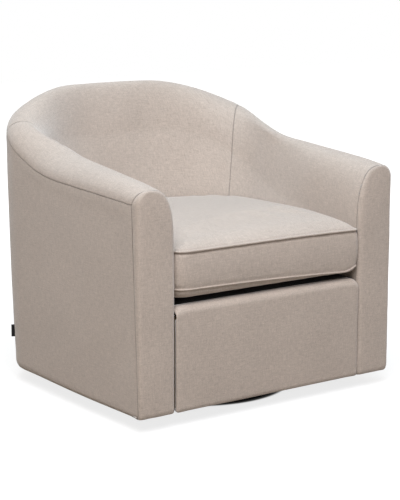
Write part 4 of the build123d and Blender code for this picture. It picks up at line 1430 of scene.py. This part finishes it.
dress(BLACK_PAINT, "base_disc")
dress(BLACK_FELT, "floor_pad")
dress(ZINC, "lower_swivel_plate", "upper_swivel_plate", "lower_plate_screws", "upper_plate_screws")
dress(ZINC, "king_pin", "bearing_balls", "spring_clips")
dress(SPRING_STEEL, "seat_springs")
dress(CAGE_PLASTIC, "ball_cage")
dress(WEBBING, "back_straps")
dress(
    HARDWOOD, "swivel_slats", "front_rail", "rear_cross_rail", "back_seat_rail", "corner_blocks",
    "back_bottom_rail", "back_top_rail", "back_tack_rail",
)
for hand in HANDS:
    for timber in ("arm_front_post", "back_post", "arm_rail", "bottom_rail", "deck_rail", "arm_board"):
        dress(HARDWOOD, f"{hand}_{timber}")

# Floor, light and camera, in metres and watts
FLOOR_SIZE = 16.0
FLOOR_LEVEL = -0.0005
FLOOR_BOUNCE = (0.31, 0.27, 0.23, 1)
FLOOR_SHOWN = (0.25, 0.25, 0.25, 1)
FLOOR_GLOW = (0.5, 1.8, 0.8)
# Painted shadow on the floor: the glow falls to 0.02 within this distance of the middle, round the base
BASE_PAINTED_SHADOW = (0.237, 0.25, 0.02)
AIR_TINT = (0.97, 0.84, 0.72, 1)
AIR_STRENGTH = 0.3
WHITE = (1, 1, 1, 1)
CAMERA_SPOT = (-2.43466, -3.31409, 1.13782)
CAMERA_TURN = math.radians(-36.467)
CAMERA_PITCH = math.radians(10.885)
CAMERA_LENS = 116.598
SENSOR_WIDTH = 36.0


def split_light(tree, output, bounced, shown):
    """Use one shader for light that bounces and another for what the camera sees."""
    path = add_node(tree, "ShaderNodeLightPath", {})
    seen = math_node(tree, "MAXIMUM", path["Is Camera Ray"], path["Is Glossy Ray"])
    seen = math_node(tree, "MAXIMUM", seen, path["Is Transmission Ray"])
    mix = add_node(tree, "ShaderNodeMixShader", {0: seen, 1: bounced, 2: shown})
    add_node(tree, output, {"Surface": mix[0]})


def empty_tree(owner):
    owner.use_nodes = True
    owner.node_tree.nodes.clear()
    return owner.node_tree


def studio():
    """White floor that glows for the camera, with a painted shadow round the base and a faint real shadow.
    """
    bpy.ops.mesh.primitive_plane_add(size=FLOOR_SIZE, location=(0.0, 0.0, FLOOR_LEVEL))
    floor = bpy.context.object
    floor.name = "studio_floor"
    material = bpy.data.materials.new("white studio floor")
    tree = empty_tree(material)
    spot = add_node(tree, "ShaderNodeTexCoord", {})["Object"]
    far = add_node(tree, "ShaderNodeVectorMath", {0: spot}, operation="LENGTH")["Value"]

    def ramp(start, stop, low):
        """From low up to 1 between two distances from the middle."""
        ends = {"Value": far, "From Min": start, "From Max": stop, "To Min": low}
        return add_node(tree, "ShaderNodeMapRange", ends, interpolation_type="SMOOTHSTEP")["Result"]

    # The second ramp paints a dark shadow line on the floor round the base disc
    strength = math_node(tree, "MULTIPLY", ramp(*FLOOR_GLOW), ramp(*BASE_PAINTED_SHADOW))
    glow = add_node(tree, "ShaderNodeEmission", {"Strength": strength})[0]
    matt = add_node(tree, "ShaderNodeBsdfDiffuse", {"Color": FLOOR_BOUNCE})[0]
    faint = add_node(tree, "ShaderNodeBsdfDiffuse", {"Color": FLOOR_SHOWN})[0]
    shown = add_node(tree, "ShaderNodeAddShader", {0: faint, 1: glow})[0]
    split_light(tree, "ShaderNodeOutputMaterial", matt, shown)
    floor.data.materials.append(material)


def surroundings():
    """White to the camera, and a warm dim light from all round for the chair."""
    SCENE.world = bpy.data.worlds.new("white studio")
    tree = empty_tree(SCENE.world)
    air = add_node(tree, "ShaderNodeBackground", {"Color": AIR_TINT, "Strength": AIR_STRENGTH})[0]
    white = add_node(tree, "ShaderNodeBackground", {"Color": WHITE})[0]
    split_light(tree, "ShaderNodeOutputWorld", air, white)


def softbox(name, spot, target, size, power, tint):
    lamp = bpy.data.lights.new(name, "AREA")
    set_all(lamp, shape="SQUARE", size=size, energy=power, color=tint)
    facing = (Vector(target) - Vector(spot)).to_track_quat("-Z", "Y").to_matrix().to_4x4()
    place_piece(name, lamp).matrix_world = Matrix.Translation(spot) @ facing


def camera():
    level = math.cos(CAMERA_PITCH)
    back = Vector((math.sin(CAMERA_TURN) * level, -math.cos(CAMERA_TURN) * level, math.sin(CAMERA_PITCH)))
    right = Vector((math.cos(CAMERA_TURN), math.sin(CAMERA_TURN), 0.0))
    facing = Matrix((right, back.cross(right), back)).transposed().to_4x4()
    lens = bpy.data.cameras.new("camera")
    set_all(lens, lens=CAMERA_LENS, sensor_width=SENSOR_WIDTH)
    SCENE.camera = place_piece("camera", lens)
    SCENE.camera.matrix_world = Matrix.Translation(CAMERA_SPOT) @ facing


studio()
surroundings()
softbox("key", (-1.55, -1.95, 3.7), (0.0, 0.0, 0.4), 2.8, 201.0, (0.962, 0.972, 1.0))
softbox("overhead", (0.0, 0.1, 3.4), (0.0, 0.1, 0.4), 1.6, 33.0, (0.4, 0.75, 1.0))
softbox("rear", (1.9, 3.0, 1.6), (0.0, 0.2, 0.4), 2.0, 24.0, (1.0, 0.9, 0.8))
softbox("front", (0.5, -3.0, 2.3), (0.0, 0.1, 0.5), 1.6, 7.8, (0.5, 0.7, 1.0))
camera()
SCENE.view_settings.view_transform = "Standard"
